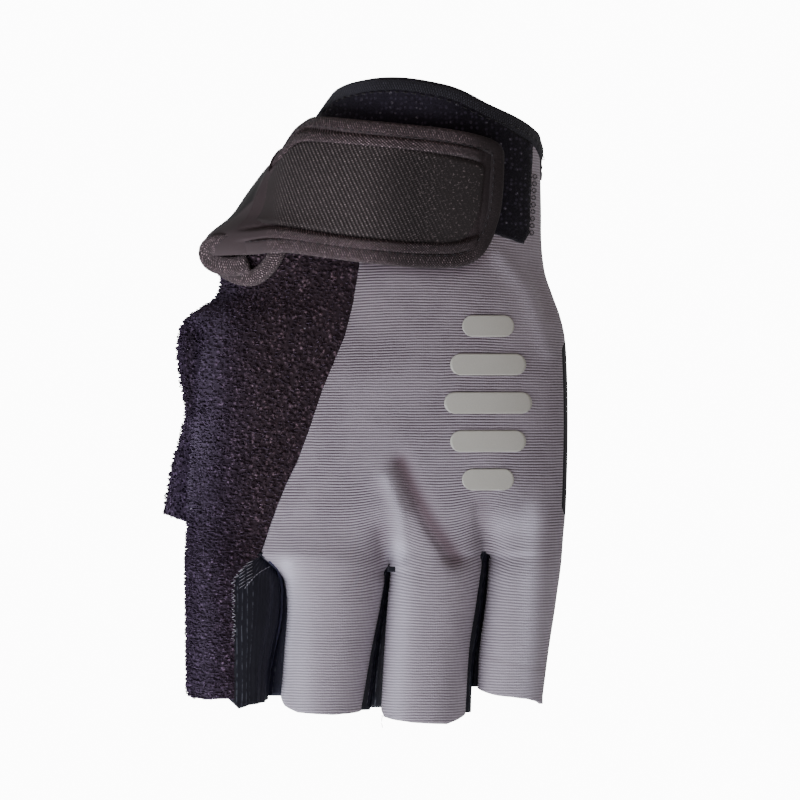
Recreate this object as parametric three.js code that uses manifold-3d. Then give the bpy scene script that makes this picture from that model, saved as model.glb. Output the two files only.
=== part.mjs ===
// Half-finger cycling glove for the left hand, standing as if worn.
// Millimetres. The fingers point to -Z, the back of the hand faces -Y and the thumb is on -X.
// The origin is the middle of the wrist opening.
// Each piece of cloth is cut out of a hollow form by its outline as seen from the back of the hand.
import * as THREE from 'three';
import { mergeVertices } from 'three/addons/utils/BufferGeometryUtils.js';
import Module from 'manifold-3d';

const wasm = await Module();
wasm.setup();

// Driving sizes
const CLOTH = 1.6;
const SEAM_GAP = 0.3;
const TAPE_WIDTH = 3.9;
const TAPE_PROUD = 0.7;
const SIDES_OF_HAND = 34;
const SIDES_OF_FINGER = 14;
const HAND_RING_STEP = 6;
const FINGER_RING_STEP = 14;
const HAND_TOP = 14;
const HAND_FOOT = -111;
const ROOT_CLEAR = 2;
const PAST_HEM = 3;
const HAND_ROUNDNESS = 2.35;
const FINGER_ROUNDNESS = 2.1;
const FAR = 90;
const FAR_BELOW = 160;
const FAR_ABOVE = 40;

// Hand from above the wrist edge to the finger slots: outline from the front, depth from the side
const HAND = [
  { z: 14, left: -21.5, right: 25.5, front: -21.5, back: 20.5 },
  { z: 8, left: -23.5, right: 26.5, front: -22.0, back: 21.0 },
  { z: 0, left: -27.0, right: 27.3, front: -22.5, back: 21.5 },
  { z: -5, left: -32.2, right: 27.6, front: -22.8, back: 21.7 },
  { z: -12, left: -37.4, right: 27.9, front: -23.0, back: 21.8 },
  { z: -20, left: -42.0, right: 28.1, front: -23.0, back: 21.6 },
  { z: -26, left: -46.0, right: 28.2, front: -22.8, back: 21.3 },
  { z: -31, left: -52.4, right: 28.2, front: -22.6, back: 21.0 },
  { z: -36, left: -55.2, right: 28.5, front: -22.4, back: 20.6 },
  { z: -41, left: -53.0, right: 29.3, front: -22.2, back: 20.2 },
  { z: -46.5, left: -54.0, right: 31.2, front: -22.0, back: 20.0 },
  { z: -51.5, left: -61.2, right: 33.0, front: -21.8, back: 19.7 },
  { z: -57, left: -63.6, right: 34.2, front: -21.5, back: 19.4 },
  { z: -65, left: -63.4, right: 34.7, front: -21.0, back: 18.8 },
  { z: -73, left: -61.8, right: 34.9, front: -20.3, back: 18.0 },
  { z: -82, left: -60.2, right: 34.9, front: -19.3, back: 17.0 },
  { z: -92, left: -60.6, right: 34.7, front: -18.0, back: 15.5 },
  { z: -102, left: -61.2, right: 34.3, front: -16.6, back: 13.0 },
  { z: -111, left: -61.4, right: 33.6, front: -15.4, back: 10.0 },
];

// Finger tubes, from inside the hand to the hem; tilt is the slope of the hem across the finger
const FINGERS = {
  index: [
    { z: -92, left: -59.5, right: -39.5, front: -13.8, back: 9.0, tilt: 0 },
    { z: -110, left: -61.3, right: -38.6, front: -14.6, back: 9.6, tilt: 0 },
    { z: -126, left: -61.2, right: -38.4, front: -14.2, back: 9.6, tilt: 0 },
    { z: -147.8, left: -61.0, right: -38.4, front: -12.4, back: 9.6, tilt: 0.02 },
  ],
  middle: [
    { z: -92, left: -38.0, right: -10.0, front: -14.6, back: 9.5, tilt: 0 },
    { z: -110, left: -38.2, right: -10.0, front: -15.4, back: 10.0, tilt: 0 },
    { z: -123, left: -36.2, right: -12.0, front: -15.0, back: 10.2, tilt: 0 },
    { z: -135, left: -36.8, right: -14.4, front: -14.3, back: 10.2, tilt: 0 },
    { z: -151, left: -38.0, right: -17.2, front: -12.8, back: 10.0, tilt: -0.12 },
  ],
  ring: [
    { z: -92, left: -8.0, right: 13.0, front: -14.2, back: 9.5, tilt: 0 },
    { z: -110, left: -9.4, right: 13.6, front: -15.0, back: 10.0, tilt: 0 },
    { z: -123, left: -10.8, right: 12.0, front: -14.7, back: 10.2, tilt: 0 },
    { z: -135, left: -11.6, right: 10.2, front: -14.0, back: 10.2, tilt: 0 },
    { z: -153.2, left: -12.6, right: 9.1, front: -12.6, back: 10.0, tilt: 0.02 },
  ],
  little: [
    { z: -92, left: 15.0, right: 33.0, front: -11.6, back: 9.5, tilt: 0 },
    { z: -110, left: 14.8, right: 33.5, front: -12.4, back: 9.8, tilt: 0 },
    { z: -123, left: 14.0, right: 32.0, front: -12.2, back: 9.8, tilt: 0 },
    { z: -135, left: 12.4, right: 30.2, front: -11.6, back: 9.8, tilt: 0 },
    { z: -147.4, left: 11.8, right: 28.6, front: -10.6, back: 9.6, tilt: -0.24 },
  ],
};

// Thumb tube, behind the palm side of the index finger
const THUMB = [
  { z: -56, left: -58.0, right: -36.0, front: 1.0, back: 19.0, tilt: 0 },
  { z: -68, left: -61.5, right: -36.5, front: 3.0, back: 27.5, tilt: 0 },
  { z: -78, left: -62.6, right: -37.6, front: 6.5, back: 31.5, tilt: 0 },
  { z: -90, left: -66.0, right: -40.8, front: 11.0, back: 35.5, tilt: 0 },
  { z: -105.2, left: -68.6, right: -44.0, front: 16.0, back: 40.0, tilt: -0.3 },
];

// Valleys between the knuckles, fading out up the hand
const VALLEYS = { tops: [-38.4, -9.8, 14.2], depth: 2.6, width: 5.2, start: -84, full: -111 };

// Wrist edge on the back of the hand, from the wrist slit to the little finger side
const WRIST_EDGE = [
  { x: -29.3, z: -0.2 },
  { x: -24.2, z: 5.5 },
  { x: -8.2, z: 8.0 },
  { x: 7.8, z: 4.8 },
  { x: 26.3, z: -6.0 },
  { x: 30.5, z: -10.0 },
];
const PALM_WRIST_EDGE = { atSide: -7.6, atPalm: -13.2, depth: 24 };

// Wrist slit, from the thumb side round its foot and up under the strap
const SLIT_EDGE = [
  { x: -66.0, z: -37.0 },
  { x: -55.0, z: -37.6 },
  { x: -48.5, z: -39.8 },
  { x: -42.5, z: -39.6 },
  { x: -37.0, z: -35.4 },
  { x: -34.0, z: -28.0 },
  { x: -31.0, z: -12.0 },
  { x: -29.3, z: 0.0 },
  { x: -29.3, z: 16.0 },
];

// Seam between the terry and the grey back, from under the strap to the slot
const TERRY_SEAM = [
  { x: -20.0, z: -31.0 },
  { x: -17.5, z: -38.5 },
  { x: -19.5, z: -49.2 },
  { x: -24.2, z: -63.5 },
  { x: -30.2, z: -80.2 },
  { x: -35.8, z: -93.2 },
  { x: -40.0, z: -104.5 },
  { x: -42.5, z: -111.4 },
];
const TERRY_TOP = -30;

// Strap as seen from the back of the hand, clockwise from the upper left
const STRAP_OUTLINE = [
  { x: -29.2, z: -1.4 },
  { x: -17.8, z: -2.8 },
  { x: 1.2, z: -4.5 },
  { x: 14.5, z: -7.4 },
  { x: 18.3, z: -10.6 },
  { x: 17.8, z: -23.2 },
  { x: 14.6, z: -32.4 },
  { x: 11.2, z: -37.6 },
  { x: 6.6, z: -39.7 },
  { x: -5.0, z: -39.5 },
  { x: -18.0, z: -38.2 },
  { x: -34.0, z: -35.6 },
  { x: -46.0, z: -33.0 },
  { x: -52.0, z: -33.6 },
  { x: -70.0, z: -36.4 },
  { x: -70.0, z: -29.0 },
  { x: -52.0, z: -24.0 },
  { x: -44.0, z: -13.6 },
  { x: -35.0, z: -4.8 },
];
const STRAP_FACE_OUTLINE = [
  { x: -32.0, z: -7.3 },
  { x: -11.5, z: -8.5 },
  { x: 7.8, z: -12.2 },
  { x: 12.7, z: -13.8 },
  { x: 13.5, z: -19.5 },
  { x: 9.5, z: -31.5 },
  { x: 4.5, z: -34.6 },
  { x: -8.2, z: -34.0 },
  { x: -30.5, z: -30.8 },
  { x: -42.5, z: -28.4 },
  { x: -40.2, z: -15.0 },
];
const STRAP_ROOT = { left: -70, right: -20, top: -12, bottom: -36, front: -4 };
const STRAP_BACK_LIMIT = -3.9;
const PATCH_BACK_LIMIT = -3;
const STRAP = { lift: 3.1, thick: 1.7, face_lift: 5.2, face_thick: 0.8, tape_width: 2.6, tape_proud: 0.5 };

const LOOP_PATCH_OUTLINE = [
  { x: -22.0, z: 3.2 },
  { x: -8.2, z: 4.4 },
  { x: 7.0, z: 1.4 },
  { x: 24.5, z: -8.6 },
  { x: 26.6, z: -13.2 },
  { x: 25.8, z: -24.0 },
  { x: 23.6, z: -33.4 },
  { x: 15.5, z: -30.8 },
  { x: 0.0, z: -29.0 },
  { x: -24.0, z: -27.0 },
];
const LOOP_PATCH_THICK = 1.2;
const HOOK_PATCH_OUTLINE = [
  { x: -10.0, z: -9.4 },
  { x: 8.0, z: -12.6 },
  { x: 12.4, z: -15.0 },
  { x: 11.0, z: -26.0 },
  { x: -10.0, z: -26.0 },
];

// Upright seam planes x * X + y * Y = offset: back to palm, which comes forward towards the little finger,
// and the terry to the palm side of the thumb
const SIDE_SEAM = { x: 0.05, y: 1, offset: -0.6, atThumbSide: 2.15 };
const THUMB_SEAM = { x: 0.8, y: 0.6, offset: -28.0 };

// Finger slots: the lycra strip reaches this far inside each finger's outline
const STRIP_REACH = 1.2;
const STRIPS = [
  { name: 'fourchette_index_middle', before: 'index', after: 'middle', top: -110.6 },
  { name: 'fourchette_middle_ring', before: 'middle', after: 'ring', top: -112.0 },
  { name: 'fourchette_ring_little', before: 'ring', after: 'little', top: -110.0 },
];
const INDEX_TERRY_RIGHT = -49.2;
const WEB_RISE = 4;
const WEB_FRONT = -11;

// Light reflective bars on the grey back: a short ladder of level bars, widest in the middle
const BARS = {
  count: 5, x: 14.5, top: -54, pitch: 9.6, height: 5.4, widths: [13, 19, 22, 19, 13], thick: 0.4,
};

// Colours and finishes
const GREY_KNIT = new THREE.MeshStandardMaterial({ color: 0x8b8490, roughness: 0.75, metalness: 0 });
const TERRY = new THREE.MeshStandardMaterial({ color: 0x2c232c, roughness: 0.95, metalness: 0 });
const LYCRA = new THREE.MeshStandardMaterial({ color: 0x171723, roughness: 0.5, metalness: 0 });
const PALM = new THREE.MeshStandardMaterial({ color: 0x1b1a1e, roughness: 0.85, metalness: 0 });
const TAPE = new THREE.MeshStandardMaterial({ color: 0x2a2429, roughness: 0.8, metalness: 0 });
const WEBBING = new THREE.MeshStandardMaterial({ color: 0x37302f, roughness: 0.85, metalness: 0 });
const HOOK_AND_LOOP = new THREE.MeshStandardMaterial({ color: 0x151217, roughness: 1, metalness: 0 });
const REFLECTIVE = new THREE.MeshStandardMaterial({ color: 0xaeada6, roughness: 0.45, metalness: 0.1 });

// Value of every column of a table at height z, on a smooth curve through the rows
function readTable(table, z) {
  const last = table.length - 1;
  let row = 0;
  while (row < last - 1 && z < table[row + 1].z) row += 1;
  const low = table[Math.max(row - 1, 0)];
  const from = table[row];
  const to = table[row + 1];
  const high = table[Math.min(row + 2, last)];
  const t = THREE.MathUtils.clamp((z - from.z) / (to.z - from.z), 0, 1);
  const blend = t * t * (3 - 2 * t);
  const curl = t * (1 - t);
  const values = {};
  for (const column of Object.keys(from)) {
    const before = (to[column] - low[column]) * (to.z - from.z) / (to.z - low.z);
    const after = (high[column] - from[column]) * (to.z - from.z) / (high.z - from.z);
    const base = THREE.MathUtils.lerp(from[column], to[column], blend);
    values[column] = base + curl * ((1 - t) * before - t * after);
  }
  return values;
}

function signedPower(value, power) {
  return Math.sign(value) * Math.abs(value) ** power;
}

// How far the knuckle valleys cut in at one place on the hand
function valleyDepth(x, z) {
  const fade = THREE.MathUtils.smoothstep(VALLEYS.start - z, 0, VALLEYS.start - VALLEYS.full);
  let depth = 0;
  for (const top of VALLEYS.tops) {
    depth += VALLEYS.depth * Math.exp(-(((x - top) / VALLEYS.width) ** 2));
  }
  return depth * fade;
}

// One closed ring of points round a limb, grown outwards by grow
function ringAt(table, z, grow, sides, roundness) {
  const row = readTable(table, z);
  const centreX = (row.left + row.right) / 2;
  const centreY = (row.front + row.back) / 2;
  const halfX = (row.right - row.left) / 2 + grow;
  const halfY = (row.back - row.front) / 2 + grow;
  const ring = [];
  for (let side = 0; side < sides; side += 1) {
    const angle = 2 * Math.PI * side / sides;
    const x = centreX + halfX * signedPower(Math.cos(angle), 2 / roundness);
    const across = signedPower(Math.sin(angle), 2 / roundness);
    const valley = table === HAND ? valleyDepth(x, z) * across : 0;
    const rise = (row.tilt ?? 0) * (x - centreX);
    ring.push(new THREE.Vector3(x, centreY + halfY * across - valley, z + rise));
  }
  return ring;
}

// Closed solid through a stack of rings, with a flat fan over each end
function loft(rings) {
  const sides = rings[0].length;
  const positions = [];
  const index = [];
  for (const ring of rings) {
    for (const point of ring) positions.push(point.x, point.y, point.z);
  }
  for (const ring of [rings[0], rings[rings.length - 1]]) {
    const middle = new THREE.Vector3();
    for (const point of ring) middle.addScaledVector(point, 1 / sides);
    positions.push(middle.x, middle.y, middle.z);
  }
  const topMiddle = rings.length * sides;
  const lastRing = (rings.length - 1) * sides;
  for (let side = 0; side < sides; side += 1) {
    const next = (side + 1) % sides;
    for (let ring = 0; ring < rings.length - 1; ring += 1) {
      const upper = ring * sides;
      const lower = upper + sides;
      index.push(upper + side, lower + side, lower + next);
      index.push(upper + side, lower + next, upper + next);
    }
    index.push(topMiddle, side, next);
    index.push(topMiddle + 1, lastRing + next, lastRing + side);
  }
  const geometry = new THREE.BufferGeometry();
  geometry.setAttribute('position', new THREE.Float32BufferAttribute(positions, 3));
  geometry.setIndex(index);
  return toSolid(geometry);
}

// A limb between two heights, as a closed solid
function limb(table, zTop, zBottom, grow, sides, roundness, step) {
  const count = Math.max(2, Math.round((zTop - zBottom) / step));
  const rings = [];
  for (let ring = 0; ring <= count; ring += 1) {
    const z = THREE.MathUtils.lerp(zTop, zBottom, ring / count);
    rings.push(ringAt(table, z, grow, sides, roundness));
  }
  return loft(rings);
}

// Closed geometry to a solid that can be joined and cut
function toSolid(geometry) {
  geometry.deleteAttribute('normal');
  geometry.deleteAttribute('uv');
  const merged = mergeVertices(geometry, 1e-5);
  return new wasm.Manifold(new wasm.Mesh({
    numProp: 3,
    vertProperties: new Float32Array(merged.attributes.position.array),
    triVerts: new Uint32Array(merged.index.array),
  }));
}

// Solid to a named mesh
function toMesh(name, solid, material) {
  const mesh = solid.getMesh();
  const geometry = new THREE.BufferGeometry();
  geometry.setAttribute('position', new THREE.Float32BufferAttribute(mesh.vertProperties, 3));
  geometry.setIndex(Array.from(mesh.triVerts));
  geometry.computeVertexNormals();
  const piece = new THREE.Mesh(geometry, material);
  piece.name = name;
  return piece;
}

// Upright block between two depths whose outline is seen from the back of the hand
function prism(outline, yFrom = -FAR, yTo = FAR) {
  const shape = new THREE.Shape(outline.map((point) => new THREE.Vector2(point.x, point.z)));
  const geometry = new THREE.ExtrudeGeometry(shape, { depth: yTo - yFrom, bevelEnabled: false });
  geometry.rotateX(Math.PI / 2);
  geometry.translate(0, yTo, 0);
  return toSolid(geometry);
}

// Block right across the glove whose outline is seen from its side
function sideBlock(outline) {
  const shape = new THREE.Shape(outline.map((point) => new THREE.Vector2(point.y, point.z)));
  const geometry = new THREE.ExtrudeGeometry(shape, { depth: 2 * FAR, bevelEnabled: false });
  geometry.rotateX(Math.PI / 2);
  geometry.rotateZ(Math.PI / 2);
  geometry.translate(-FAR, 0, 0);
  return toSolid(geometry);
}

// Smooth open line through a few points
function smooth(points, count) {
  const curve = new THREE.SplineCurve(points.map((point) => new THREE.Vector2(point.x, point.z)));
  return curve.getPoints(count).map((point) => ({ x: point.x, z: point.y }));
}

// Open line moved sideways; a positive distance goes to the left of its direction
function moveLine(points, distance) {
  return points.map((point, place) => {
    const before = points[Math.max(place - 1, 0)];
    const after = points[Math.min(place + 1, points.length - 1)];
    const along = new THREE.Vector2(after.x - before.x, after.z - before.z).normalize();
    return { x: point.x - along.y * distance, z: point.z + along.x * distance };
  });
}

// Clockwise outline drawn in by a distance
function inset(outline, distance) {
  const count = outline.length;
  return outline.map((point, place) => {
    const before = outline[(place + count - 1) % count];
    const after = outline[(place + 1) % count];
    const along = new THREE.Vector2(after.x - before.x, after.z - before.z).normalize();
    return { x: point.x + along.y * distance, z: point.z - along.x * distance };
  });
}

// Layer over the hand between two distances from its surface
function layer(from, to) {
  return handSolid(to, HAND_TOP, HAND_FOOT).subtract(handSolid(from, HAND_TOP + 2, HAND_FOOT - 2));
}

function handSolid(grow, top, foot) {
  return limb(HAND, top, foot, grow, SIDES_OF_HAND, HAND_ROUNDNESS, HAND_RING_STEP);
}

// A finger or thumb tube, with extra length past its hem
function tubeSolid(table, grow, extra) {
  const root = table[0].z - ROOT_CLEAR;
  const hem = table[table.length - 1].z - extra;
  return limb(table, root, hem, grow, SIDES_OF_FINGER, FINGER_ROUNDNESS, FINGER_RING_STEP);
}

// Whole glove form, hollow from the wrist to every hem
function hollowForm() {
  let outside = handSolid(0, HAND_TOP, HAND_FOOT);
  let inside = handSolid(-CLOTH, HAND_TOP + 2, HAND_FOOT + CLOTH);
  for (const table of [...Object.values(FINGERS), THUMB]) {
    outside = outside.add(tubeSolid(table, 0, 0));
    inside = inside.add(tubeSolid(table, -CLOTH, PAST_HEM));
  }
  return outside.subtract(inside);
}

// Everything above the wrist edge, over the whole depth of the wrist, lowered by a distance
function aboveWrist(drop) {
  const edge = moveLine(smooth(WRIST_EDGE, 14), -drop);
  const back = prism([{ x: -FAR, z: edge[0].z }, ...edge, { x: FAR, z: edge[edge.length - 1].z },
    { x: FAR, z: FAR_ABOVE }, { x: -FAR, z: FAR_ABOVE }], -FAR, 0);
  const { atSide, atPalm, depth } = PALM_WRIST_EDGE;
  const palm = sideBlock([{ y: -0.01, z: atSide - drop }, { y: depth, z: atPalm - drop },
    { y: depth, z: FAR_ABOVE }, { y: -0.01, z: FAR_ABOVE }]);
  return back.add(palm);
}

// Open part of the wrist on the thumb side, widened by a distance
function slitOpening(widen) {
  const edge = moveLine(smooth(SLIT_EDGE, 20), -widen);
  return prism([...edge, { x: edge[edge.length - 1].x, z: FAR_ABOVE }, { x: -FAR, z: FAR_ABOVE },
    { x: -FAR, z: edge[0].z }], -FAR, SIDE_SEAM.atThumbSide - SEAM_GAP / 2);
}

// Part of a solid on one side of an upright seam plane, kept half a gap clear of it
function trimBySeam(solid, seam, sign) {
  return solid.trimByPlane([sign * seam.x, sign * seam.y, 0], sign * seam.offset + SEAM_GAP / 2);
}

// Outline of the lycra strip in one slot, seen from the back of the hand
function stripOutline(strip, widen) {
  const before = FINGERS[strip.before];
  const after = FINGERS[strip.after];
  const left = [];
  const right = [];
  for (const z of [-116, -123, -130, -137, -144]) {
    const fingerEdge = readTable(before, z).right - STRIP_REACH;
    const leftEdge = strip.before === 'index' ? INDEX_TERRY_RIGHT : fingerEdge;
    left.push({ x: leftEdge - widen, z });
    right.unshift({ x: readTable(after, z).left + STRIP_REACH + widen, z });
  }
  const top = strip.top + widen;
  const shoulder = strip.top - 2.2 + widen;
  const middle = (left[0].x + right[right.length - 1].x) / 2;
  const crown = strip.before === 'index' ? -42.4 : middle;
  return [
    { x: crown, z: top },
    { x: THREE.MathUtils.lerp(crown, left[0].x, 0.75), z: shoulder },
    ...left,
    { x: left[left.length - 1].x, z: -FAR_BELOW },
    { x: right[0].x, z: -FAR_BELOW },
    ...right,
    { x: THREE.MathUtils.lerp(crown, right[right.length - 1].x, 0.75), z: shoulder },
  ];
}

// A strip's region, which reaches higher behind the back of the hand to take in the web of the slot
function stripRegion(strip, widen) {
  const web = { ...strip, top: strip.top + WEB_RISE };
  return prism(stripOutline(strip, widen)).add(prism(stripOutline(web, widen), WEB_FRONT - widen, FAR));
}

// Region of the grey back, right of the terry seam
function greyRegion() {
  const seam = moveLine(smooth(TERRY_SEAM, 12), SEAM_GAP / 2);
  return prism([{ x: -FAR, z: FAR_ABOVE }, { x: -FAR, z: TERRY_TOP + SEAM_GAP / 2 },
    { x: TERRY_SEAM[0].x, z: TERRY_TOP + SEAM_GAP / 2 }, ...seam,
    { x: seam[seam.length - 1].x, z: -FAR_BELOW }, { x: FAR, z: -FAR_BELOW }, { x: FAR, z: FAR_ABOVE }]);
}

function terryRegion() {
  const seam = moveLine(smooth(TERRY_SEAM, 12), -SEAM_GAP / 2);
  const top = TERRY_TOP - SEAM_GAP / 2;
  return prism([{ x: -FAR, z: top }, { x: TERRY_SEAM[0].x, z: top }, ...seam,
    { x: seam[seam.length - 1].x, z: -FAR_BELOW }, { x: -FAR, z: -FAR_BELOW }]);
}

// Cloth pieces of the hand, the fingers and the thumb
function clothPieces(glove) {
  const form = hollowForm().subtract(aboveWrist(TAPE_WIDTH + SEAM_GAP));
  const thumbSpace = tubeSolid(THUMB, 1, PAST_HEM);
  const thumbOnly = thumbSpace.subtract(handSolid(SEAM_GAP, HAND_TOP, HAND_FOOT - SEAM_GAP));
  const thumb = form.intersect(thumbOnly);
  let hand = form.subtract(thumbSpace.subtract(handSolid(0, HAND_TOP, HAND_FOOT)));
  for (const strip of STRIPS) {
    glove.add(toMesh(strip.name, form.subtract(thumbOnly).intersect(stripRegion(strip, 0)), LYCRA));
    hand = hand.subtract(stripRegion(strip, SEAM_GAP));
  }
  const front = trimBySeam(hand, SIDE_SEAM, -1).subtract(slitOpening(TAPE_WIDTH + SEAM_GAP));
  glove.add(toMesh('back_panel', front.intersect(greyRegion()), GREY_KNIT));
  glove.add(toMesh('terry_panel', front.intersect(terryRegion()), TERRY));
  glove.add(toMesh('palm_panel', trimBySeam(hand, SIDE_SEAM, 1), PALM));
  glove.add(toMesh('thumb_terry', trimBySeam(thumb, THUMB_SEAM, -1), TERRY));
  glove.add(toMesh('thumb_palm', trimBySeam(thumb, THUMB_SEAM, 1), PALM));
}

// Tapes that wrap the wrist edge and the slit
function bindings(glove) {
  const tape = layer(-CLOTH - TAPE_PROUD, TAPE_PROUD);
  const wrist = tape.intersect(aboveWrist(TAPE_WIDTH)).subtract(aboveWrist(0)).subtract(slitOpening(0));
  glove.add(toMesh('cuff_binding', wrist, TAPE));
  const slit = tape.intersect(slitOpening(TAPE_WIDTH)).subtract(slitOpening(0));
  glove.add(toMesh('slit_binding', slit.subtract(aboveWrist(TAPE_WIDTH + SEAM_GAP)), TAPE));
}

// Strap over the slit with its woven face, its tape and the hook and loop under its end
function closure(glove) {
  const root = prism([
    { x: STRAP_ROOT.left, z: STRAP_ROOT.top },
    { x: STRAP_ROOT.right, z: STRAP_ROOT.top },
    { x: STRAP_ROOT.right, z: STRAP_ROOT.bottom },
    { x: STRAP_ROOT.left, z: STRAP_ROOT.bottom },
  ], STRAP_ROOT.front, FAR);
  const { lift, thick, face_lift, face_thick, tape_width, tape_proud } = STRAP;
  const whole = prism(STRAP_OUTLINE, -FAR, STRAP_BACK_LIMIT).add(root);
  const core = prism(inset(STRAP_OUTLINE, tape_width + SEAM_GAP), -FAR, STRAP_BACK_LIMIT);
  const tapeLayer = layer(lift - tape_proud, lift + thick + tape_proud);
  glove.add(toMesh('strap', layer(lift, lift + thick).intersect(core.add(root)), TAPE));
  glove.add(toMesh('strap_binding', tapeLayer.intersect(whole).subtract(
    prism(inset(STRAP_OUTLINE, tape_width), -FAR, STRAP_BACK_LIMIT)).subtract(root), TAPE));
  glove.add(toMesh('strap_face', layer(face_lift, face_lift + face_thick).intersect(
    prism(STRAP_FACE_OUTLINE, -FAR, PATCH_BACK_LIMIT)), WEBBING));
  const loopLift = SEAM_GAP;
  const patchRegion = prism(LOOP_PATCH_OUTLINE, -FAR, PATCH_BACK_LIMIT)
    .subtract(aboveWrist(TAPE_WIDTH + SEAM_GAP));
  glove.add(toMesh('loop_patch', layer(loopLift, loopLift + LOOP_PATCH_THICK).intersect(patchRegion),
    HOOK_AND_LOOP));
  const hookLift = loopLift + LOOP_PATCH_THICK + SEAM_GAP;
  glove.add(toMesh('hook_patch', layer(hookLift, lift - SEAM_GAP).intersect(
    prism(HOOK_PATCH_OUTLINE, -FAR, PATCH_BACK_LIMIT)), HOOK_AND_LOOP));
}

// Light bars on the grey back
function bars(glove) {
  const film = layer(SEAM_GAP, SEAM_GAP + BARS.thick);
  for (let bar = 0; bar < BARS.count; bar += 1) {
    const z = BARS.top - bar * BARS.pitch;
    const half = BARS.widths[bar] / 2 - BARS.height / 2;
    const shape = new THREE.Shape();
    shape.absarc(half, 0, BARS.height / 2, -Math.PI / 2, Math.PI / 2);
    shape.absarc(-half, 0, BARS.height / 2, Math.PI / 2, 3 * Math.PI / 2);
    const outline = shape.getPoints(3).map((point) => ({ x: BARS.x + point.x, z: z + point.y }));
    glove.add(toMesh(`bar_${bar + 1}`, film.intersect(prism(outline, -FAR, PATCH_BACK_LIMIT)), REFLECTIVE));
  }
}

const glove = new THREE.Group();
glove.name = 'cycling_glove';
clothPieces(glove);
bindings(glove);
closure(glove);
bars(glove);

export default glove;
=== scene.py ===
import contextlib
import math

import bmesh
import bpy
import numpy as np
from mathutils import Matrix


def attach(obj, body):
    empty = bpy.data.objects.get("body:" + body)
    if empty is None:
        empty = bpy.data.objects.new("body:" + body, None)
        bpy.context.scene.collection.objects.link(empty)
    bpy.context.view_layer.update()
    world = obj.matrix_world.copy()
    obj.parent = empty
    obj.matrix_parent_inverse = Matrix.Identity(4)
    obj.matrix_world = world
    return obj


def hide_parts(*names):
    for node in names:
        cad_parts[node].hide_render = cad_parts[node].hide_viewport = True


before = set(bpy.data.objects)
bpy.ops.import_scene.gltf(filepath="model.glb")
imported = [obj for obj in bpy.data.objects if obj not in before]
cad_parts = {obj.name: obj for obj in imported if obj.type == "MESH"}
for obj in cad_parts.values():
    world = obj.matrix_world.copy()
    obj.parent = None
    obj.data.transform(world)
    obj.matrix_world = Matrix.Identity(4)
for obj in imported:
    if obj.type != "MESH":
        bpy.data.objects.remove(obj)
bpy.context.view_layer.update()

bl_info = {
    "name": "Half-finger cycling glove",
    "version": (1, 0, 0),
    "blender": (4, 5, 0),
    "location": "3D View > Sidebar > Glove",
    "description": "Dresses the frame of a half-finger glove with knit, terry, lycra, tape and hook and loop",
    "category": "Add Mesh",
}

# Tables are in millimetres in the frame's axes: +Z out of the wrist, -Y the back of the hand, -X the thumb
MM = 0.001

SECTION = ("z", "left", "right", "front", "back")
HAND = (
    (14.0, -21.5, 25.5, -21.5, 20.5),
    (8.0, -23.5, 26.5, -22.0, 21.0),
    (0.0, -27.0, 27.3, -22.5, 21.5),
    (-5.0, -32.2, 27.6, -22.8, 21.7),
    (-12.0, -37.4, 27.9, -23.0, 21.8),
    (-20.0, -42.0, 28.1, -23.0, 21.6),
    (-26.0, -46.0, 28.2, -22.8, 21.3),
    (-31.0, -52.4, 28.2, -22.6, 21.0),
    (-36.0, -55.2, 28.5, -22.4, 20.6),
    (-41.0, -53.0, 29.3, -22.2, 20.2),
    (-46.5, -54.0, 31.2, -22.0, 20.0),
    (-51.5, -61.2, 33.0, -21.8, 19.7),
    (-57.0, -63.6, 34.2, -21.5, 19.4),
    (-65.0, -63.4, 34.7, -21.0, 18.8),
    (-73.0, -61.8, 34.9, -20.3, 18.0),
    (-82.0, -60.2, 34.9, -19.3, 17.0),
    (-92.0, -60.6, 34.7, -18.0, 15.5),
    (-102.0, -61.2, 34.3, -16.6, 13.0),
    (-111.0, -61.4, 33.6, -15.4, 10.0),
    (-120.0, -61.4, 33.0, -14.6, 9.0),
)
INDEX = (
    (-92.0, -59.5, -39.5, -13.8, 9.0),
    (-110.0, -61.3, -38.6, -14.6, 9.6),
    (-126.0, -61.2, -38.4, -14.2, 9.6),
    (-147.8, -61.0, -38.4, -12.4, 9.6),
)
MIDDLE = (
    (-92.0, -38.0, -10.0, -14.6, 9.5),
    (-110.0, -38.2, -10.0, -15.4, 10.0),
    (-123.0, -36.2, -12.0, -15.0, 10.2),
    (-135.0, -36.8, -14.4, -14.3, 10.2),
    (-151.0, -38.0, -17.2, -12.8, 10.0),
)
RING = (
    (-92.0, -8.0, 13.0, -14.2, 9.5),
    (-110.0, -9.4, 13.6, -15.0, 10.0),
    (-123.0, -10.8, 12.0, -14.7, 10.2),
    (-135.0, -11.6, 10.2, -14.0, 10.2),
    (-153.2, -12.6, 9.1, -12.6, 10.0),
)
LITTLE = (
    (-92.0, 15.0, 33.0, -11.6, 9.5),
    (-110.0, 14.8, 33.5, -12.4, 9.8),
    (-123.0, 14.0, 32.0, -12.2, 9.8),
    (-135.0, 12.4, 30.2, -11.6, 9.8),
    (-147.4, 11.8, 28.6, -10.6, 9.6),
)
THUMB = (
    (-56.0, -58.0, -36.0, 1.0, 19.0),
    (-68.0, -61.5, -36.5, 3.0, 27.5),
    (-78.0, -62.6, -37.6, 6.5, 31.5),
    (-90.0, -66.0, -40.8, 11.0, 35.5),
    (-105.2, -68.6, -44.0, 16.0, 40.0),
)
HAND_REACH = (-111, 14)
HAND_ROUNDNESS = 2.35
FINGER_ROUNDNESS = 2.1

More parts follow.
